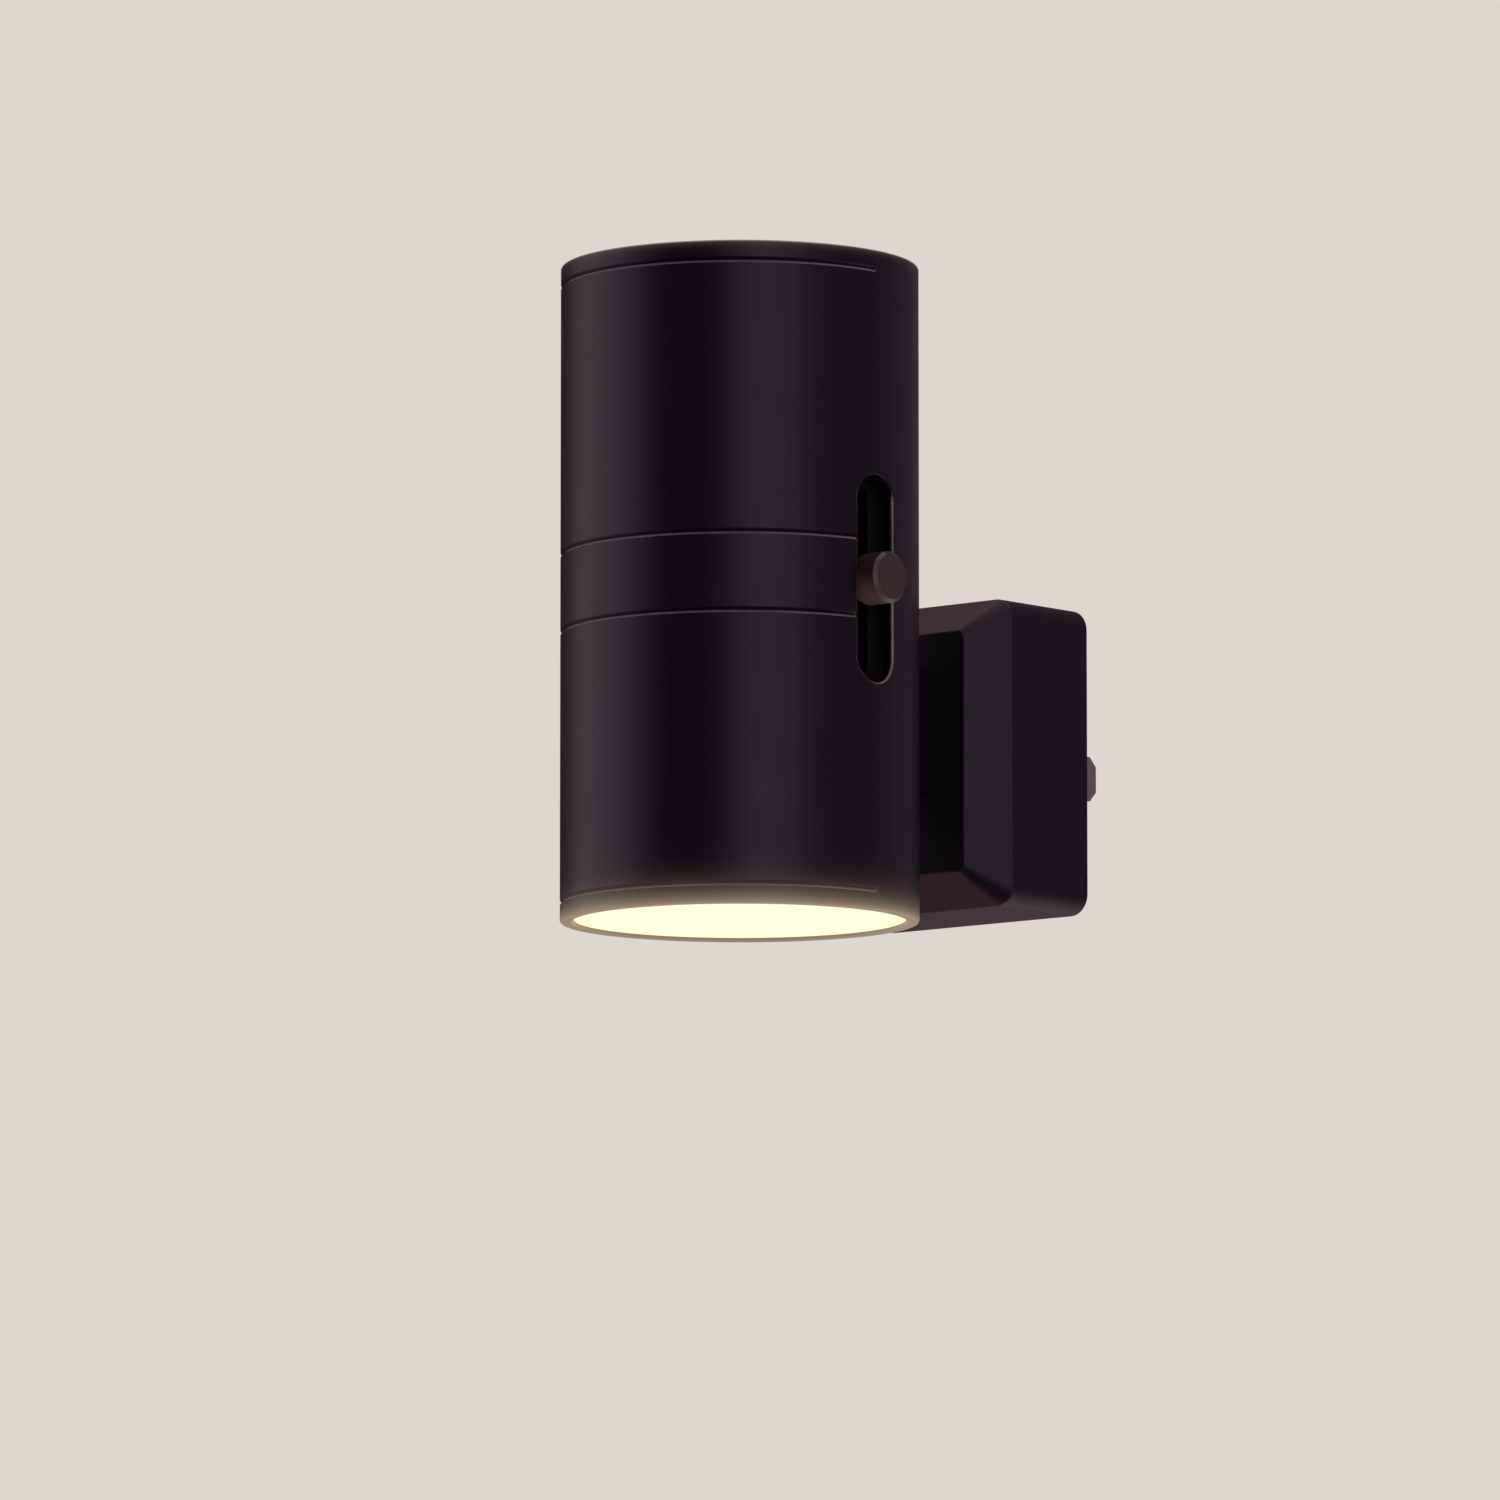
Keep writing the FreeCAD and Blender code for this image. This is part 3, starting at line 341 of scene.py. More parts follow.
@dataclass(frozen=True)
class LipHighlightPlastic(MouldedPlastic):
    """Lacquered plastic tube; the lips of its grooves and slot carry a painted highlight, a light colour
    that stands in for the light they catch.

    The highlight is painted only where the lips face up, as if lit from above; where they face down they
    stay dark, as in shade.

    Attributes:
        lip_highlight: colour of the painted highlight on the lips.
        axis_y_mm: where the tube's axis is, from the wall.
        lip_inner_mm: radius where the lips end, inside.
        lip_outer_mm: radius where they start, just under the lacquer.
        fade_mm: width over which they blend in.
        dark_lift: lift of the surface's direction up to which a lip stays dark, with no painted highlight.
        light_lift: lift from which the painted highlight is full.
    """

    # Colour of the painted highlight on the lips.
    lip_highlight: str = "#b8a9b4"
    axis_y_mm: float = TUBE_AXIS_Y
    lip_inner_mm: float = 24.55
    lip_outer_mm: float = 24.92
    fade_mm: float = 0.05
    dark_lift: float = -0.3
    light_lift: float = -0.05

    def body_colour(self, tree: bpy.types.NodeTree) -> bpy.types.NodeSocket:
        """Add the lacquer's colour, and the painted highlight's colour on the lips that face up.

        Args:
            tree: tree that takes the nodes.

        Returns:
            The output with the colour.
        """
        distance = axis_distance(tree, self.axis_y_mm)
        surface = add_node(tree, "ShaderNodeNewGeometry")
        axes = add_node(tree, "ShaderNodeSeparateXYZ", links={0: surface.outputs["True Normal"]})
        inner, outer, fade = self.lip_inner_mm * MM, self.lip_outer_mm * MM, self.fade_mm * MM
        # The painted highlight's share: on the lips only, and only where they face up, as if lit from
        # above.
        share = ramp(tree, distance, inner, inner + fade)
        for limit in (
            ramp(tree, distance, outer + fade, outer),
            ramp(tree, axes.outputs["Z"], self.dark_lift, self.light_lift),
        ):
            share = add_node(
                tree, "ShaderNodeMath", {"operation": "MULTIPLY"}, {0: share, 1: limit}
            ).outputs[0]
        colour = add_node(
            tree, "ShaderNodeMix", {"data_type": "RGBA", 7: linear(self.lip_highlight)},
            {0: share, 6: super().body_colour(tree)},
        )
        return colour.outputs[2]


@dataclass(frozen=True)
class GlowingOpal:
    """Opal polycarbonate disc lit from behind: even light that falls off slightly at its edge.

    Attributes:
        name: material's name.
        body: colour of the plastic when the light is off.
        glow: colour of the light that comes through.
        edge: colour of the light at the rim.
        radius_mm: radius where the light starts to fall off.
        fall_mm: width over which it falls.
        strength: brightness of the glow, where 1 is white.
        axis_y_mm: where the tube's axis is, from the wall.
        ior: index of refraction, polycarbonate's.
        cloud_mm: spacing of the patches in its roughness.
        smoothest: roughness of the smoothest patches.
        roughest: roughness of the roughest patches.
    """

    name: str
    body: str
    glow: str
    edge: str
    radius_mm: float
    fall_mm: float = 2.5
    strength: float = 0.96
    axis_y_mm: float = TUBE_AXIS_Y
    ior: float = 1.58
    cloud_mm: float = 9.0
    smoothest: float = 0.42
    roughest: float = 0.5

    def build(self) -> bpy.types.Material:
        """Build and return the node material."""
        material, tree = new_material(self.name)
        distance = axis_distance(tree, self.axis_y_mm)
        fall = ramp(tree, distance, self.radius_mm * MM, (self.radius_mm + self.fall_mm) * MM)
        cloud = noise(tree, self.cloud_mm, GRAIN_OCTAVES)
        colour = add_node(
            tree, "ShaderNodeMix", {"data_type": "RGBA", 6: linear(self.glow), 7: linear(self.edge)},
            {0: fall},
        )
        shader = add_node(
            tree, "ShaderNodeBsdfPrincipled",
            {"Base Color": linear(self.body), "IOR": self.ior, "Emission Strength": self.strength},
            {"Emission Color": colour.outputs[2],
             "Roughness": spread(tree, cloud.outputs["Fac"], self.smoothest, self.roughest)},
        )
        add_node(tree, "ShaderNodeOutputMaterial", links={"Surface": shader.outputs["BSDF"]})
        return material


@dataclass(frozen=True)
class PlatedMetal:
    """Metal, plated or unplated, with fine drawing or tumbling marks.

    Attributes:
        name: material's name.
        colour: colour of the metal's reflection.
        stain: colour of its duller patches.
        roughness: middle of the roughness.
        line_mm: spacing of the marks across their run, drawn coarser than the real 0.03 to 0.1 mm,
            so that the picture's pixels can show them.
        relief_mm: depth of the marks.
        stretch: how much longer than wide the marks are, along Y.
        patch_mm: spacing of the duller patches.
        stain_share: how much of the stain the dullest patches show.
        smoother: how far the roughness falls below its middle.
        rougher: how far it rises above it.
    """

    name: str
    colour: str
    stain: str
    roughness: float
    line_mm: float = 0.12
    relief_mm: float = 0.002
    stretch: float = 12.0
    patch_mm: float = 4.0
    stain_share: float = 0.8
    smoother: float = 0.06
    rougher: float = 0.08

    def build(self) -> bpy.types.Material:
        """Build and return the node material."""
        material, tree = new_material(self.name)
        place = add_node(tree, "ShaderNodeTexCoord")
        along = add_node(
            tree, "ShaderNodeMapping", {"Scale": (1.0, 1.0 / self.stretch, 1.0)},
            {"Vector": place.outputs["Object"]},
        )
        lines = add_node(
            tree, "ShaderNodeTexNoise", {"Scale": 1.0 / (self.line_mm * MM), "Detail": GRAIN_OCTAVES},
            {"Vector": along.outputs["Vector"]},
        )
        patches = noise(tree, self.patch_mm, PATCH_OCTAVES)
        colour = add_node(
            tree, "ShaderNodeMix", {"data_type": "RGBA", 6: linear(self.colour), 7: linear(self.stain)},
            {0: spread(tree, patches.outputs["Fac"], 0.0, self.stain_share)},
        )
        bump = add_node(
            tree, "ShaderNodeBump", {"Strength": 1.0, "Distance": self.relief_mm * MM},
            {"Height": lines.outputs["Fac"]},
        )
        shader = add_node(
            tree, "ShaderNodeBsdfPrincipled", {"Metallic": 1.0},
            {"Base Color": colour.outputs[2], "Normal": bump.outputs["Normal"],
             "Roughness": spread(
                 tree, lines.outputs["Fac"], self.roughness - self.smoother, self.roughness + self.rougher
             )},
        )
        add_node(tree, "ShaderNodeOutputMaterial", links={"Surface": shader.outputs["BSDF"]})
        return material


class Finish(Enum):
    """Finishes of the object's pieces, each started from the real material."""

    # Soft-touch lacquer over moulded ABS: near black with a plum cast, wide soft reflections.
    # The lenses' light on the plastic round them is painted as a faint warm glow of the tube's ends.
    # The lips of its grooves and slot get a painted highlight where they face up.
    SHELL = LipHighlightPlastic(
        "soft_touch_black_abs", "#090110", "#0c0314", 0.40, 0.02, 0.30, 0.003, sheen="#ffeeff",
        painted_glows=(PaintedEndGlow(TUBE_BOTTOM, 1, 0.29, 1.3), PaintedEndGlow(TUBE_TOP, -1, 0.09, 0.35)),
    )
    # The same ABS without lacquer: a little coarser grain, duller reflections.
    BASE = MouldedPlastic(
        "grained_black_abs", "#0a0210", "#0d0414", 0.46, 0.03, 0.40, 0.006, sheen="#ffeeff"
    )
    # Button moulded in taupe nylon, shinier than the tube, brown where the light falls on it.
    BUTTON = MouldedPlastic(
        "taupe_nylon", "#46383b", "#4b3d3f", 0.28, 0.03, 0.25, 0.002, ior=1.55, sheen="#fff2f4"
    )
    # Dark nylon behind the slot, dull, so that the slot reads as a deep opening.
    GUIDE = MouldedPlastic(
        "matt_black_nylon", "#050308", "#07050a", 0.6, 0.04, 0.4, 0.004, specular=0.3
    )
    # White reflector cone, bright and smooth.
    REFLECTOR = MouldedPlastic("white_polycarbonate", "#f1efe8", "#eceae2", 0.3, 0.03, 0.5, 0.002)
    # Opal polycarbonate, glowing warm white.
    DIFFUSER = GlowingOpal("glowing_opal_polycarbonate", "#4a4430", "#ffffdd", "#fff3c2", radius_mm=21.0)
    # Nickel-plated brass blades, rolled lengthwise: fine long streaks in a warm silver shine.
    BLADE = PlatedMetal("rolled_nickel_plated_brass", "#cfcac0", "#b9b4a8", 0.26)
    # Black zinc-plated steel screws, tumbled: dark grey metal without a clear highlight.
    SCREW = PlatedMetal("black_zinc_plated_steel", "#4c4c50", "#3a3a3e", 0.34, 0.3, 0.002, 1.0)
    # Bright zinc-plated steel of the neck's screws and the potentiometer's case: cool light grey.
    ZINC = PlatedMetal("bright_zinc_plated_steel", "#c3c6c9", "#a9adb2", 0.3, 0.2, 0.002, 4.0)
    # Spring brass and tinned pins: golden and dull silver.
    SPRING = PlatedMetal("spring_brass", "#d0a850", "#b58d3e", 0.28, 0.1, 0.001, 4.0)
    TINNED = PlatedMetal("tinned_brass", "#cfd0cf", "#b4b6b5", 0.34, 0.2, 0.002, 1.0)
    # Epoxy-glass boards under a solder mask: smooth, half-glossy green or white.
    GREEN_BOARD = MouldedPlastic("green_solder_mask", "#1f5f3a", "#256a42", 0.32, 0.05, 0.6, 0.004)
    WHITE_BOARD = MouldedPlastic("white_solder_mask", "#ecece6", "#e3e3dc", 0.35, 0.05, 0.6, 0.004)
    # Packages, coats and sleeves of the electrical parts: matt black, glossy ochre, dull blue.
    PHOSPHOR = MouldedPlastic("yellow_phosphor_silicone", "#f0cf5c", "#e6c14a", 0.35, 0.05, 0.3, 0.003)
    EPOXY = MouldedPlastic("moulded_black_epoxy", "#18181a", "#1d1d1f", 0.55, 0.05, 0.2, 0.004)
    FILM_COAT = MouldedPlastic("dipped_ochre_epoxy", "#c0841f", "#b4781a", 0.22, 0.06, 1.5, 0.01)
    SLEEVE = MouldedPlastic("shrunk_pvc_sleeve", "#20242c", "#262a33", 0.25, 0.05, 0.8, 0.004)
    CERAMIC = MouldedPlastic("flameproof_blue_lacquer", "#4b6c8a", "#43627e", 0.5, 0.06, 0.4, 0.006)
    CARBON = MouldedPlastic("screened_carbon_ink", "#191819", "#201f20", 0.6, 0.05, 0.3, 0.004)
    # Extruded PVC insulation of the wires, half glossy.
    WHITE_LEAD = MouldedPlastic("white_pvc_insulation", "#e7e4dc", "#dedad0", 0.4, 0.05, 1.0, 0.004)
    RED_LEAD = MouldedPlastic("red_pvc_insulation", "#a8231c", "#9c1f19", 0.4, 0.05, 1.0, 0.004)
    # Enamelled copper wire of the choke: reddish metal in wound lines.
    COPPER = PlatedMetal("enamelled_copper_wire", "#b0622f", "#9c5426", 0.3, 0.25, 0.01, 1.0)


class Wardrobe:
    """Builds each finish once and hands out its material."""

    def __init__(self) -> None:
        """Start with no material built."""
        self.made: dict[Finish, bpy.types.Material] = {}

    def get(self, finish: Finish) -> bpy.types.Material:
        """Return the material of a finish, built on first use.

        Args:
            finish: the finish.

        Returns:
            Its material.
        """
        if finish not in self.made:
            self.made[finish] = finish.value.build()
        return self.made[finish]


def smooth_by_angle(piece: bpy.types.Object, degrees: float) -> None:
    """Shade a piece smooth, but keep edges that turn by more than an angle.

    Args:
        piece: mesh object to shade.
        degrees: least turn that stays sharp.
    """
    mesh = piece.data
    mesh.polygons.foreach_set("use_smooth", [True] * len(mesh.polygons))
    mesh.set_sharp_from_angle(angle=math.radians(degrees))


def skin(form: bmesh.types.BMesh, rings: list[list[Vector]]) -> None:
    """Join rings of points into a closed skin.

    Args:
        form: mesh that takes the skin.
        rings: rings with the same number of points, from one end to the other.
    """
    rows = [[form.verts.new(point) for point in ring] for ring in rings]
    for low, high in zip(rows, rows[1:]):
        for i in range(len(low)):
            form.faces.new((low[i - 1], low[i], high[i], high[i - 1]))
    form.faces.new(rows[0])
    form.faces.new(rows[-1])
    bmesh.ops.recalc_face_normals(form, faces=form.faces)


def place_mesh(form: bmesh.types.BMesh, name: str) -> bpy.types.Object:
    """Turn a form into an object of the scene.

    Args:
        form: mesh in the making, which is freed.
        name: the object's name.

    Returns:
        The object.
    """
    mesh = bpy.data.meshes.new(name)
    form.to_mesh(mesh)
    form.free()
    piece = bpy.data.objects.new(name, mesh)
    bpy.context.collection.objects.link(piece)
    return piece


@dataclass
class SubAssembly:
    """Pieces that belong together, dressed in their finishes.

    Attributes:
        wardrobe: hands out the materials.
        finishes: finish of each CAD node.
        sharp_edge: least turn in degrees that stays a sharp edge.
    """

    wardrobe: Wardrobe
    finishes: dict[str, Finish] = field(default_factory=dict)
    sharp_edge: float = 24.0

    def build(self) -> None:
        """Dress every piece."""
        for name, finish in self.finishes.items():
            self.dress(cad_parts[name], finish)

    def dress(self, piece: bpy.types.Object, finish: Finish) -> None:
        """Give a piece its material and its shading.

        Args:
            piece: mesh object.
            finish: what it is made of.
        """
        piece.data.materials.clear()
        piece.data.materials.append(self.wardrobe.get(finish))
        smooth_by_angle(piece, self.sharp_edge)
        log.info("%s: %s in %s", type(self).__name__, piece.name, finish.value.name)


@dataclass
class Head(SubAssembly):
    """Upright tube of two half shells, with a glowing lens in each end."""

    finishes: dict[str, Finish] = field(default_factory=lambda: {
        "front_shell": Finish.SHELL,
        "rear_shell": Finish.SHELL,
        "upper_diffuser": Finish.DIFFUSER,
        "lower_diffuser": Finish.DIFFUSER,
    })

    def middle(self) -> Vector:
        """Return the studio's centre: the tube's middle, at the front shell's rearmost points."""
        low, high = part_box("front_shell")
        return Vector(((low.x + high.x) / 2, high.y, (low.z + high.z) / 2))


@dataclass
class LightEngine(SubAssembly):
    """Boards, diodes, reflectors and leads behind both lenses."""

    finishes: dict[str, Finish] = field(default_factory=lambda: {
        f"{end}_{piece}": finish
        for end in ("upper", "lower")
        for piece, finish in (
            ("reflector", Finish.REFLECTOR),
            ("led_board", Finish.WHITE_BOARD),
            ("leds", Finish.PHOSPHOR),
            ("led_leads", Finish.WHITE_LEAD),
        )
    })


@dataclass
class Dimmer(SubAssembly):
    """Slide dimmer: the button in its slot, its guide and the potentiometer behind it."""

    finishes: dict[str, Finish] = field(default_factory=lambda: {
        "slot_guide": Finish.GUIDE,
        "slider_knob": Finish.BUTTON,
        "slider_carriage": Finish.GUIDE,
        "slider_wiper": Finish.SPRING,
        "dimmer_case": Finish.ZINC,
        "dimmer_track": Finish.CARBON,
        "dimmer_terminals": Finish.TINNED,
        "control_board": Finish.GREEN_BOARD,
        "dimmer_leads": Finish.RED_LEAD,
    })


@dataclass
class Base(SubAssembly):
    """Bevelled base on the wall plate, with its back cover and the two plug blades."""

    finishes: dict[str, Finish] = field(default_factory=lambda: {
        "base_housing": Finish.BASE,
        "back_cover": Finish.BASE,
        "line_blade": Finish.BLADE,
        "neutral_blade": Finish.BLADE,
    })


@dataclass
class Driver(SubAssembly):
    """Mains side of the electronics, inside the base."""

    finishes: dict[str, Finish] = field(default_factory=lambda: {
        "driver_board": Finish.GREEN_BOARD,
        "film_capacitor": Finish.FILM_COAT,
        "smoothing_capacitor": Finish.SLEEVE,
        "bridge_rectifier": Finish.EPOXY,
        "driver_chip": Finish.EPOXY,
        "fuse_resistor": Finish.CERAMIC,
        "filter_choke": Finish.COPPER,
    })


@dataclass
class Screws(SubAssembly):
    """Cross-recess pan-head screws, threaded and cut here in place of the plain CAD ones.

    All screws point along -Y, with their heads towards the wall. Sizes are in millimetres.

    Attributes:
        finishes: finish of each set.
        slots: material slot of each set; not used.
        head_radius: radius of the head.
        head_height: height of the head above its seat.
        rim_height: height of its straight rim, below the dome.
        crest_radius: radius of the thread's crests.
        root_radius: radius of the thread's roots.
        pitch: rise of the thread in one turn.
        ridge_share: share of the pitch that the thread's ridge takes.
        tip_length: length of the tapered tip.
        tip_share: share of the radius that is left at the very tip.
        recess_span: length of the cross from end to end.
        recess_width: width of its arms.
        recess_depth: depth of the cross.
        recess_narrowing: share by which the cross narrows towards its floor.
        columns: points round the screw.
        rows_per_turn: rows of points in one turn of the thread.
        dome_rows: rows of points over the dome.
        turn_step: degrees from one screw's cross to the next, as each stops where it bites.
        place_digits: decimals of a millimetre to which two screws' places are compared.
    """

    finishes: dict[str, Finish] = field(default_factory=lambda: {
        "shell_screws": Finish.SCREW,
        "neck_screws": Finish.ZINC,
        "cover_screws": Finish.SCREW,
    })
    slots: dict[str, str] = field(default_factory=lambda: {
        "shell_screws": "black_screw_steel",
        "neck_screws": "zinc_plated_steel",
        "cover_screws": "black_screw_steel",
    })
    head_radius: float = 2.3
    head_height: float = 1.2
    rim_height: float = 0.5
    crest_radius: float = 1.29
    root_radius: float = 0.95
    pitch: float = 1.0
    ridge_share: float = 0.5
    tip_length: float = 1.2
    tip_share: float = 0.1
    recess_span: float = 2.7
    recess_width: float = 0.62
    recess_depth: float = 0.9
    recess_narrowing: float = 0.35
    columns: int = 32
    rows_per_turn: int = 8
    dome_rows: int = 8
    turn_step: float = 37.0
    place_digits: int = 2

    def build(self) -> None:
        """Make each set of screws, dress it and let it stand for its CAD node."""
        super().build()
        for node, finish in self.finishes.items():
            piece = self.make_set(node)
            self.dress(piece, finish)
            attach(piece, "housing")
            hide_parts(node)

    def make_set(self, node: str) -> bpy.types.Object:
        """Make the screws of one set at the places of their CAD node.

        Args:
            node: the CAD node with the plain screws.

        Returns:
            One object with every screw of the set.
        """
        low, high = (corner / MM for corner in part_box(node))
        seat = high.y - self.head_height
        screw = self.make_screw(seat - low.y)
        rows = self.axes_between(low.z, high.z)
        places = [(x, z) for x in self.axes_between(low.x, high.x) for z in rows]
        form = bmesh.new()
        for number, (x, z) in enumerate(places):
            turn = Matrix.Rotation(math.radians(self.turn_step * number), 4, "Y")
            copy = screw.copy()
            copy.transform(Matrix.Scale(MM, 4) @ Matrix.Translation((x, seat, z)) @ turn)
            form.from_mesh(copy)
            bpy.data.meshes.remove(copy)
        bpy.data.meshes.remove(screw)
        return place_mesh(form, f"{node}_cross_recess")

    def axes_between(self, low: float, high: float) -> list[float]:
        """Find where the screws' axes lie along one direction: at both ends, or once if those meet.

        Args:
            low: where the set's box starts.
            high: where it ends.

        Returns:
            One or two places in millimetres.
        """
        ends = (low + self.head_radius, high - self.head_radius)
        return sorted({round(end, self.place_digits) for end in ends})

    def make_screw(self, length: float) -> bpy.types.Mesh:
        """Make one screw with its seat at the origin and its tip towards -Y.

        Args:
            length: from the seat to the tip.

        Returns:
            The screw's mesh, in millimetres.
        """
        form = bmesh.new()
        skin(form, self.shank_rings(length) + self.head_rings())
        blank = place_mesh(form, "screw_blank")
        bars = [self.recess_bar(turn) for turn in (0.0, 90.0)]
        for bar in bars:
            modifier = blank.modifiers.new(bar.name, "BOOLEAN")
            modifier.operation = "DIFFERENCE"
            modifier.solver = "EXACT"
            modifier.object = bar
        bpy.context.view_layer.update()
        shaped = blank.evaluated_get(bpy.context.evaluated_depsgraph_get())
        mesh = bpy.data.meshes.new_from_object(shaped)
        for piece in (blank, *bars):
            bpy.data.objects.remove(piece)
        return mesh

    def ring(self, height: float, radii: list[float]) -> list[Vector]:
        """Place one ring of points round the screw's axis.

        Args:
            height: place along the axis.
            radii: radius of each point, in turn.

        Returns:
            The points.
        """
        points = []
        for i, radius in enumerate(radii):
            turn = 2 * math.pi * i / len(radii)
            points.append(Vector((radius * math.cos(turn), height, radius * math.sin(turn))))
        return points

    def shank_rings(self, length: float) -> list[list[Vector]]:
        """Place the rings of the threaded shank.

        Args:
            length: from the seat to the tip.

        Returns:
            The rings, from the tip to the seat.
        """
        rows = round(length / self.pitch * self.rows_per_turn)
        rings = []
        for row in range(rows, -1, -1):
            depth = length * row / rows
            radii = [self.thread_radius(depth, i / self.columns, length) for i in range(self.columns)]
            rings.append(self.ring(-depth, radii))
        return rings

    def thread_radius(self, depth: float, turn: float, length: float) -> float:
        """Return the thread's radius at one point.

        Args:
            depth: distance below the seat.
            turn: place round the axis, from 0 to 1.
            length: from the seat to the tip.

        Returns:
            The radius: a ridge with a plain root on both sides, tapered at the tip.
        """
        place = (depth / self.pitch - turn) % 1.0
        ridge = max(0.0, 1.0 - 2.0 * abs(place - 0.5) / self.ridge_share)
        radius = self.root_radius + (self.crest_radius - self.root_radius) * ridge
        taper = min(1.0, self.tip_share + (length - depth) / self.tip_length)
        return radius * taper

    def head_rings(self) -> list[list[Vector]]:
        """Return the rings of the pan head, from the seat over the rim to the top of the dome."""
        rings = [self.ring(0.0, [self.head_radius] * self.columns)]
        for row in range(self.dome_rows):
            lift = math.pi / 2 * row / self.dome_rows
            height = self.rim_height + (self.head_height - self.rim_height) * math.sin(lift)
            rings.append(self.ring(height, [self.head_radius * math.cos(lift)] * self.columns))
        return rings

    def recess_bar(self, turn: float) -> bpy.types.Object:
        """Make one tapered bar that cuts two opposite arms of the cross.

        Args:
            turn: degrees by which it is turned about the screw's axis.

        Returns:
            The bar.
        """
        form = bmesh.new()
        rings = []
        for height, share in (
            (self.head_height - self.recess_depth, 1.0 - self.recess_narrowing),
            (self.head_height + self.recess_depth, 1.0 + self.recess_narrowing),
        ):
            x, z = self.recess_span / 2 * share, self.recess_width / 2 * share
            rings.append([Vector((a, height, b)) for a, b in ((-x, -z), (x, -z), (x, z), (-x, z))])
        skin(form, rings)
        bmesh.ops.rotate(form, matrix=Matrix.Rotation(math.radians(turn), 3, "Y"), verts=form.verts)
        return place_mesh(form, f"recess_bar_{round(turn)}")


@dataclass
class PhotoCamera:
    """Camera at the photograph's place, fitted to the object's edges.

    Attributes:
        azimuth: degrees round the object, from the front towards +X.
        rise: degrees that the camera looks up.
        distance_mm: from the camera to the point it looks at.
        focal_px: focal length in pixels of the photograph's frame.
        frame_px: side of the photograph's frame in pixels.
        aim_right_mm: point it looks at, along the picture's horizontal through the origin.
        aim_up_mm: height of that point.
        sensor_mm: width of the sensor.
        near: metres from which it sees.
        far: metres up to which it sees.
    """

    azimuth: float = 40.594
    rise: float = 7.22
    distance_mm: float = 1774.8
    focal_px: float = 12462.2
    frame_px: float = 1500.0
    aim_right_mm: float = -33.05
    aim_up_mm: float = 3.296
    sensor_mm: float = 36.0
    near: float = 0.01
    far: float = 100.0

    def aim(self) -> Vector:
        """Return the point that the camera looks at."""
        turn = math.radians(self.azimuth)
        return Vector((
            math.cos(turn) * self.aim_right_mm, math.sin(turn) * self.aim_right_mm, self.aim_up_mm,
        )) * MM

    def forward(self) -> Vector:
        """Return the direction in which the camera looks."""
        turn, tilt = math.radians(self.azimuth), math.radians(self.rise)
        return Vector((
            -math.sin(turn) * math.cos(tilt), math.cos(turn) * math.cos(tilt), math.sin(tilt),
        ))

    def build(self) -> bpy.types.Object:
        """Make the camera, give it to the scene and return it."""
        data = bpy.data.cameras.new("photo_camera")
        data.sensor_width = self.sensor_mm
        data.lens = self.focal_px / self.frame_px * self.sensor_mm
        data.clip_start, data.clip_end = self.near, self.far
        camera = bpy.data.objects.new("photo_camera", data)
        bpy.context.collection.objects.link(camera)
        camera.location = self.aim() - self.forward() * (self.distance_mm * MM)
        camera.rotation_mode = "QUATERNION"
        camera.rotation_quaternion = self.forward().to_track_quat("-Z", "Y")
        bpy.context.scene.camera = camera
        return camera


def direction(azimuth: float, lift: float) -> Vector:
    """Point from the object to a place in the studio.

    Args:
        azimuth: degrees round the object, from the front towards +X.
        lift: degrees above the horizon.

    Returns:
        The unit vector.
    """
    a, e = math.radians(azimuth), math.radians(lift)
    return Vector((math.sin(a) * math.cos(e), -math.cos(a) * math.cos(e), math.sin(e)))


@dataclass
class Softbox:
    """One soft lamp that shades the object; the cards give its reflections.

    Attributes:
        name: its name.
        turn: degrees from the camera's side of the object, positive to the picture's right.
        lift: degrees above the horizon.
        distance: metres from the tube's middle.
        width: metres across.
        height: metres tall.
        radiance: brightness of its face, where 1 is white.
        tint: colour of its light.
    """

    name: str
    turn: float
    lift: float
    distance: float
    width: float
    height: float
    radiance: float
    tint: str = "#ffffff"

    def build(self, camera_azimuth: float, middle: Vector) -> bpy.types.Object:
        """Make the lamp, turned to face the object.

        Args:
            camera_azimuth: degrees at which the camera stands.
            middle: point that the lamp faces.

        Returns:
            The lamp.
        """
        data = bpy.data.lights.new(self.name, "AREA")
        data.shape = "RECTANGLE"
        data.size, data.size_y = self.width, self.height
        # Blender spreads the energy over pi times the face's area.
        data.energy = self.radiance * math.pi * self.width * self.height
        data.color = linear(self.tint)[:3]
        lamp = bpy.data.objects.new(self.name, data)
        bpy.context.collection.objects.link(lamp)
        out = direction(camera_azimuth + self.turn, self.lift)
        lamp.location = middle + out * self.distance
        lamp.rotation_mode = "QUATERNION"
        lamp.rotation_quaternion = out.to_track_quat("Z", "Y")
        lamp.visible_camera = False
        lamp.visible_glossy = False
        return lamp


class Band(Enum):
    """Where a studio card hangs: its lower and upper edge in metres, and its inner and outer radius."""

    SIDE = (-0.58, 1.0, 1.1, 1.1)
    ABOVE = (1.0, 1.0, 0.6, 1.1)
    ZENITH = (1.0, 1.0, 0.0, 0.6)
    BELOW = (-0.58, -0.58, 0.0, 1.1)


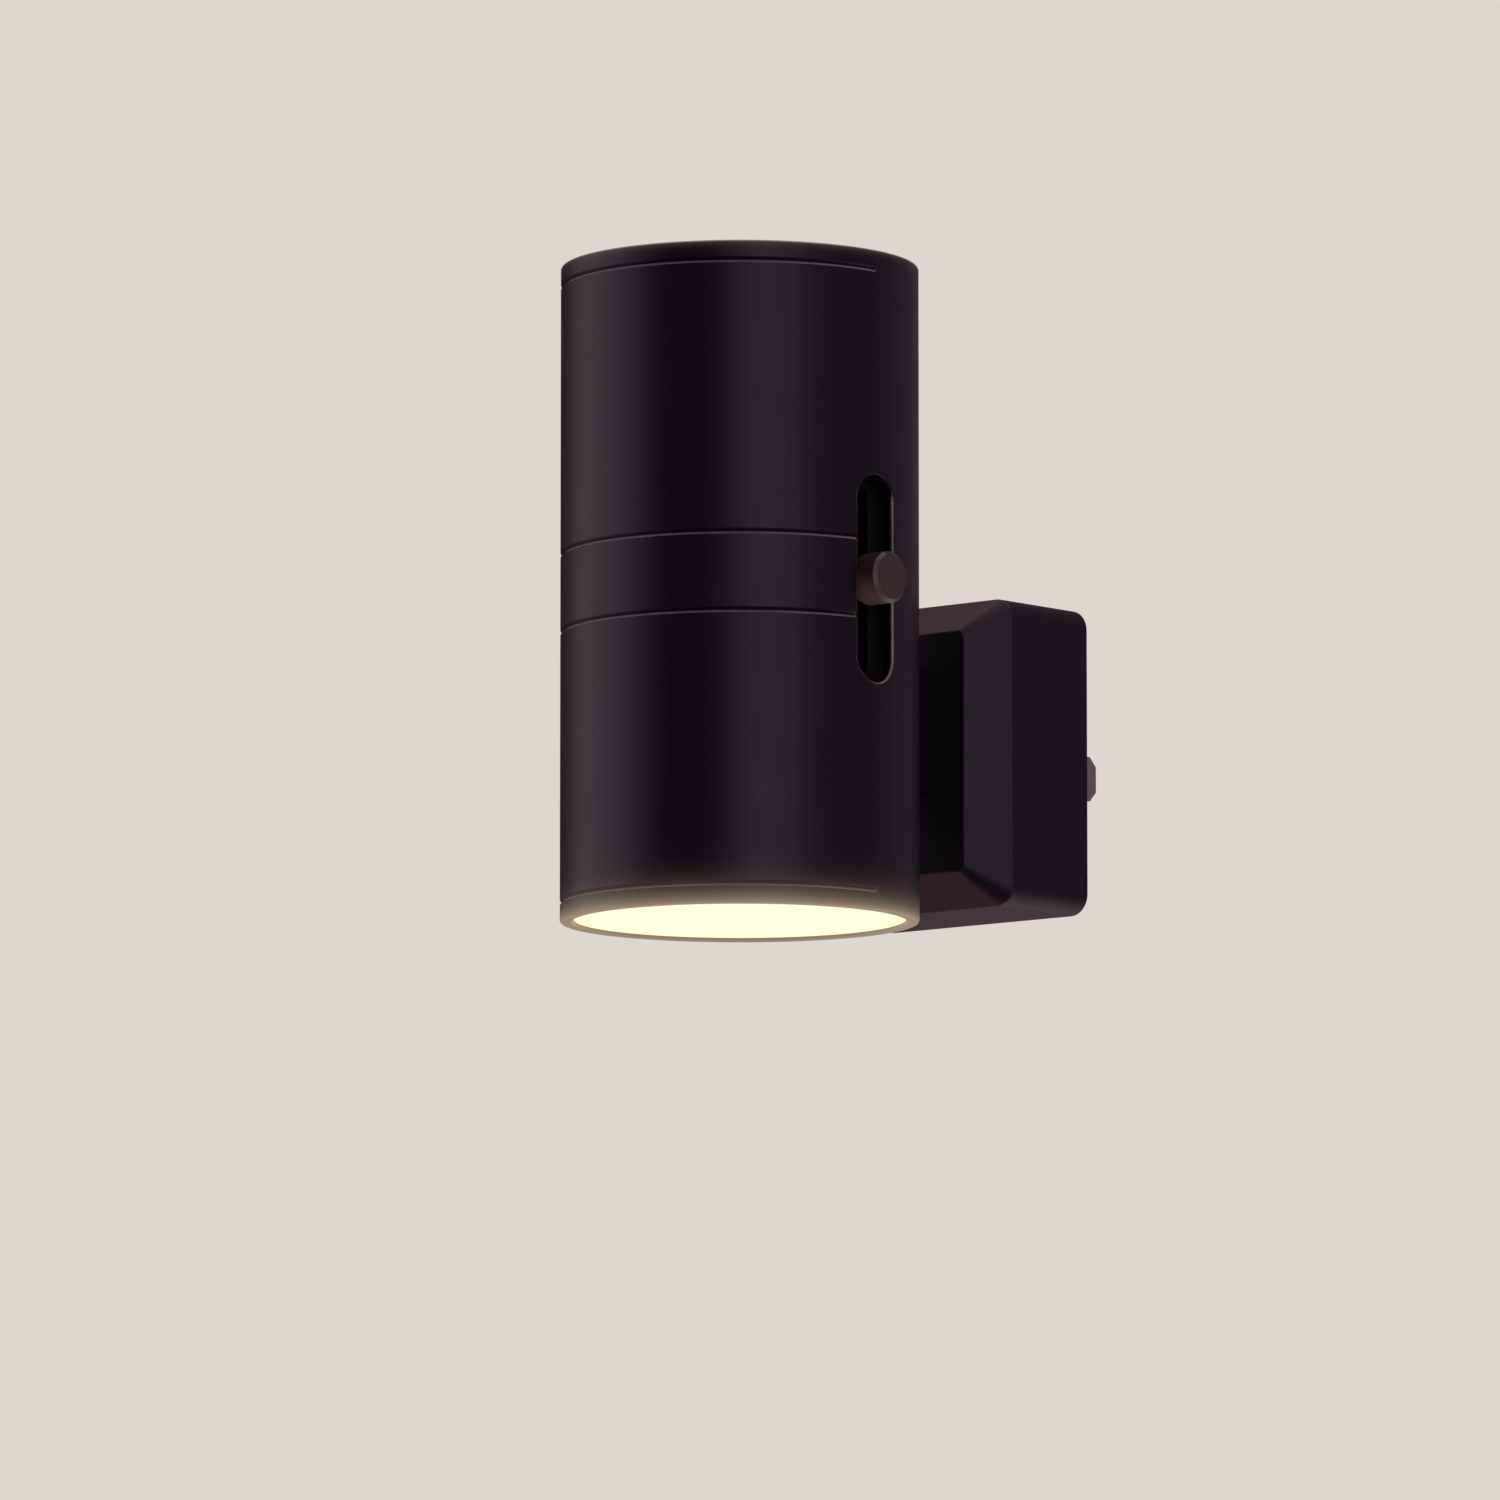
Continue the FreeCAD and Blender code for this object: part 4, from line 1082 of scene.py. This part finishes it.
@dataclass
class Card:
    """Studio card round the object, seen only in reflections.

    Attributes:
        band: where it hangs.
        start: degrees from the camera's side where it starts.
        end: degrees where it ends.
        colour: how it looks in a reflection.
        strength: brightness of that colour.
        step: about how many degrees lie between two rows of its points.
    """

    band: Band
    start: float
    end: float
    colour: str
    strength: float = 1.0
    step: float = 5.0

    def build(self, camera_azimuth: float, middle: Vector) -> bpy.types.Object:
        """Make the card.

        Args:
            camera_azimuth: degrees at which the camera stands.
            middle: point that the card stands round.

        Returns:
            The card.
        """
        name = f"card_{self.band.name.lower()}_{round(self.start % 360)}"
        low, high, inner, outer = self.band.value
        steps = max(2, round((self.end - self.start) / self.step))
        points, faces = [], []
        for i in range(steps + 1):
            out = direction(camera_azimuth + self.start + (self.end - self.start) * i / steps, 0.0)
            for height, radius in ((low, inner), (high, outer)):
                points.append((middle.x + out.x * radius, middle.y + out.y * radius, height))
        for i in range(steps):
            corners = (2 * i, 2 * i + 1, 2 * i + 3, 2 * i + 2)
            # A card that reaches the middle is made of triangles, as two corners of each face meet there.
            faces.append(corners if inner else corners[:3])
        mesh = bpy.data.meshes.new(name)
        mesh.from_pydata(points, [], faces)
        card = bpy.data.objects.new(name, mesh)
        bpy.context.collection.objects.link(card)
        material, tree = new_material(name)
        light = add_node(
            tree, "ShaderNodeEmission", {"Color": linear(self.colour), "Strength": self.strength}
        )
        add_node(tree, "ShaderNodeOutputMaterial", links={"Surface": light.outputs["Emission"]})
        mesh.materials.append(material)
        card.visible_camera = False
        card.visible_diffuse = False
        card.visible_shadow = False
        card.visible_transmission = False
        card.visible_volume_scatter = False
        return card


@dataclass
class Studio:
    """Pale floor, pale surroundings, soft lamps and the cards that shape the tube's reflections.

    Attributes:
        floor_drop: metres from the object's origin down to the floor.
        floor_radius: metres.
        floor_sides: corners of its outline.
        floor_colour: colour of the floor.
        floor_smoothest: roughness of the smoothest patches of its paint.
        floor_roughest: roughness of the roughest patches.
        floor_patch_mm: spacing of those patches.
        floor_lift: how much of the backdrop's colour the camera sees added to the lit floor.
        fade_start: metres from the middle where the floor starts to turn into the backdrop.
        fade_end: metres from the middle where it has turned into it.
        backdrop: colour of the surroundings.
        ambient: strength of the light from all around.
        lamps: soft lamps.
        cards: cards round the object.
    """

    floor_drop: float = 0.6
    floor_radius: float = 14.0
    floor_sides: int = 96
    floor_colour: str = "#d9d5cf"
    floor_smoothest: float = 0.75
    floor_roughest: float = 0.85
    floor_patch_mm: float = 60.0
    floor_lift: float = 0.8
    fade_start: float = 1.2
    fade_end: float = 3.2
    backdrop: str = "#dcd7d0"
    ambient: float = 0.08
    lamps: list[Softbox] = field(default_factory=lambda: [
        Softbox("left_softbox", -100.0, 15.0, 0.9, 0.75, 1.3, 0.6),
        Softbox("right_softbox", 85.0, 15.0, 0.95, 0.6, 0.9, 0.4),
        Softbox("top_softbox", 100.0, 65.0, 1.0, 0.9, 0.9, 1.2, "#ffe2c4"),
        Softbox("low_softbox", 50.0, -80.0, 0.55, 0.5, 0.5, 5.0, "#ffeae0"),
    ])
    cards: list[Card] = field(default_factory=lambda: [
        # Wide bright card on the left, with a soft edge towards the camera.
        Card(Band.SIDE, -130.0, -70.0, "#dddcdd"),
        Card(Band.SIDE, -70.0, -50.0, "#4c464e"),
        # Dark gap that draws the tube's black stripe.
        Card(Band.SIDE, -50.0, -10.0, "#060026"),
        # Narrow bright card just right of the camera, with soft edges.
        Card(Band.SIDE, -10.0, 5.0, "#8d888f"),
        Card(Band.SIDE, 5.0, 20.0, "#ffffff"),
        Card(Band.SIDE, 20.0, 40.0, "#d2cdd2"),
        # Dim surroundings to the right and behind.
        Card(Band.SIDE, 40.0, 100.0, "#6c606d"),
        Card(Band.SIDE, 100.0, 180.0, "#72666f"),
        Card(Band.SIDE, -180.0, -130.0, "#302b30"),
        # Warm light from the wall above and below, behind the tube.
        Card(Band.ABOVE, -180.0, -90.0, "#dcaca9"),
        Card(Band.ABOVE, -90.0, 90.0, "#b8acb2"),
        Card(Band.ABOVE, 90.0, 180.0, "#050005"),
        Card(Band.ZENITH, -180.0, 180.0, "#dccfd6", 1.6),
        Card(Band.BELOW, -180.0, -90.0, "#bf8c88"),
        Card(Band.BELOW, -90.0, 90.0, "#0a0001"),
    ])

    def build(self, camera_azimuth: float, middle: Vector) -> None:
        """Make the floor, the world, the lamps and the cards.

        Args:
            camera_azimuth: degrees at which the camera stands.
            middle: point that the lamps face and the cards stand round.
        """
        self.make_floor()
        self.make_world()
        for piece in (*self.lamps, *self.cards):
            piece.build(camera_azimuth, middle)

    def make_floor(self) -> None:
        """Make the plain pale floor, which keeps the object's shadow."""
        form = bmesh.new()
        bmesh.ops.create_circle(form, cap_ends=True, segments=self.floor_sides, radius=self.floor_radius)
        floor = place_mesh(form, "floor")
        floor.location.z = -self.floor_drop
        floor.data.materials.append(self.floor_paint())

    def floor_paint(self) -> bpy.types.Material:
        """Build and return the floor's paint, which turns into the backdrop with distance."""
        material, tree = new_material("pale_painted_floor")
        cloud = noise(tree, self.floor_patch_mm, PAINT_OCTAVES)
        paint = add_node(
            tree, "ShaderNodeBsdfPrincipled",
            {"Base Color": linear(self.floor_colour), "Specular IOR Level": 0.0},
            {"Roughness": spread(
                tree, cloud.outputs["Fac"], self.floor_smoothest, self.floor_roughest
            )},
        )
        shown = self.shown_rays(tree)
        lift = add_node(
            tree, "ShaderNodeMath", {"operation": "MULTIPLY", 1: self.floor_lift}, {0: shown}
        )
        added = add_node(
            tree, "ShaderNodeEmission", {"Color": linear(self.backdrop)}, {"Strength": lift.outputs[0]}
        )
        lit = add_node(tree, "ShaderNodeAddShader", links={0: paint.outputs[0], 1: added.outputs[0]})
        place = add_node(tree, "ShaderNodeTexCoord")
        away = add_node(
            tree, "ShaderNodeVectorMath", {"operation": "LENGTH"}, {0: place.outputs["Object"]}
        )
        fade = add_node(
            tree, "ShaderNodeMapRange",
            {"From Min": self.fade_start, "From Max": self.fade_end, "interpolation_type": "SMOOTHSTEP"},
            {"Value": away.outputs["Value"]},
        )
        share = add_node(
            tree, "ShaderNodeMath", {"operation": "MULTIPLY"}, {0: fade.outputs["Result"], 1: shown}
        )
        far = add_node(tree, "ShaderNodeEmission", {"Color": linear(self.backdrop)})
        mix = add_node(
            tree, "ShaderNodeMixShader",
            links={0: share.outputs[0], 1: lit.outputs[0], 2: far.outputs[0]},
        )
        add_node(tree, "ShaderNodeOutputMaterial", links={"Surface": mix.outputs[0]})
        return material

    def shown_rays(self, tree: bpy.types.NodeTree) -> bpy.types.NodeSocket:
        """Tell what the camera sees itself, in a reflection or through a piece from what lights it.

        Args:
            tree: tree that takes the nodes.

        Returns:
            An output that is 1 for those rays and 0 for the others.
        """
        path = add_node(tree, "ShaderNodeLightPath")
        seen = add_node(
            tree, "ShaderNodeMath", {"operation": "MAXIMUM"},
            {0: path.outputs["Is Camera Ray"], 1: path.outputs["Is Glossy Ray"]},
        )
        shown = add_node(
            tree, "ShaderNodeMath", {"operation": "MAXIMUM"},
            {0: seen.outputs[0], 1: path.outputs["Is Transmission Ray"]},
        )
        return shown.outputs[0]

    def make_world(self) -> None:
        """Make the surroundings: plain ambient light that looks pale to the camera and in reflections."""
        world = bpy.data.worlds.new("studio")
        bpy.context.scene.world = world
        world.use_nodes = True
        tree = world.node_tree
        tree.nodes.clear()
        lighting = add_node(
            tree, "ShaderNodeBackground", {"Color": linear("#ffffff"), "Strength": self.ambient}
        )
        backdrop = add_node(
            tree, "ShaderNodeBackground", {"Color": linear(self.backdrop), "Strength": 1.0}
        )
        mix = add_node(
            tree, "ShaderNodeMixShader",
            links={0: self.shown_rays(tree), 1: lighting.outputs[0], 2: backdrop.outputs[0]},
        )
        add_node(tree, "ShaderNodeOutputWorld", links={"Surface": mix.outputs[0]})


def main() -> None:
    """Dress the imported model, build the studio and report each piece."""
    logging.basicConfig(level=logging.INFO, format="%(name)s: %(message)s")
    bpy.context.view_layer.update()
    wardrobe = Wardrobe()
    head = Head(wardrobe)
    groups = (
        head, LightEngine(wardrobe), Dimmer(wardrobe), Base(wardrobe), Driver(wardrobe), Screws(wardrobe)
    )
    for group in groups:
        group.build()
    dressed = {name for group in groups for name in group.finishes}
    if dressed != set(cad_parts):
        raise ValueError(f"nodes without a finish: {sorted(set(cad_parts) - dressed)}")
    camera = PhotoCamera()
    camera.build()
    Studio().build(camera.azimuth, head.middle())
    bpy.context.scene.view_settings.view_transform = "Standard"


if __name__ == "__main__":
    main()
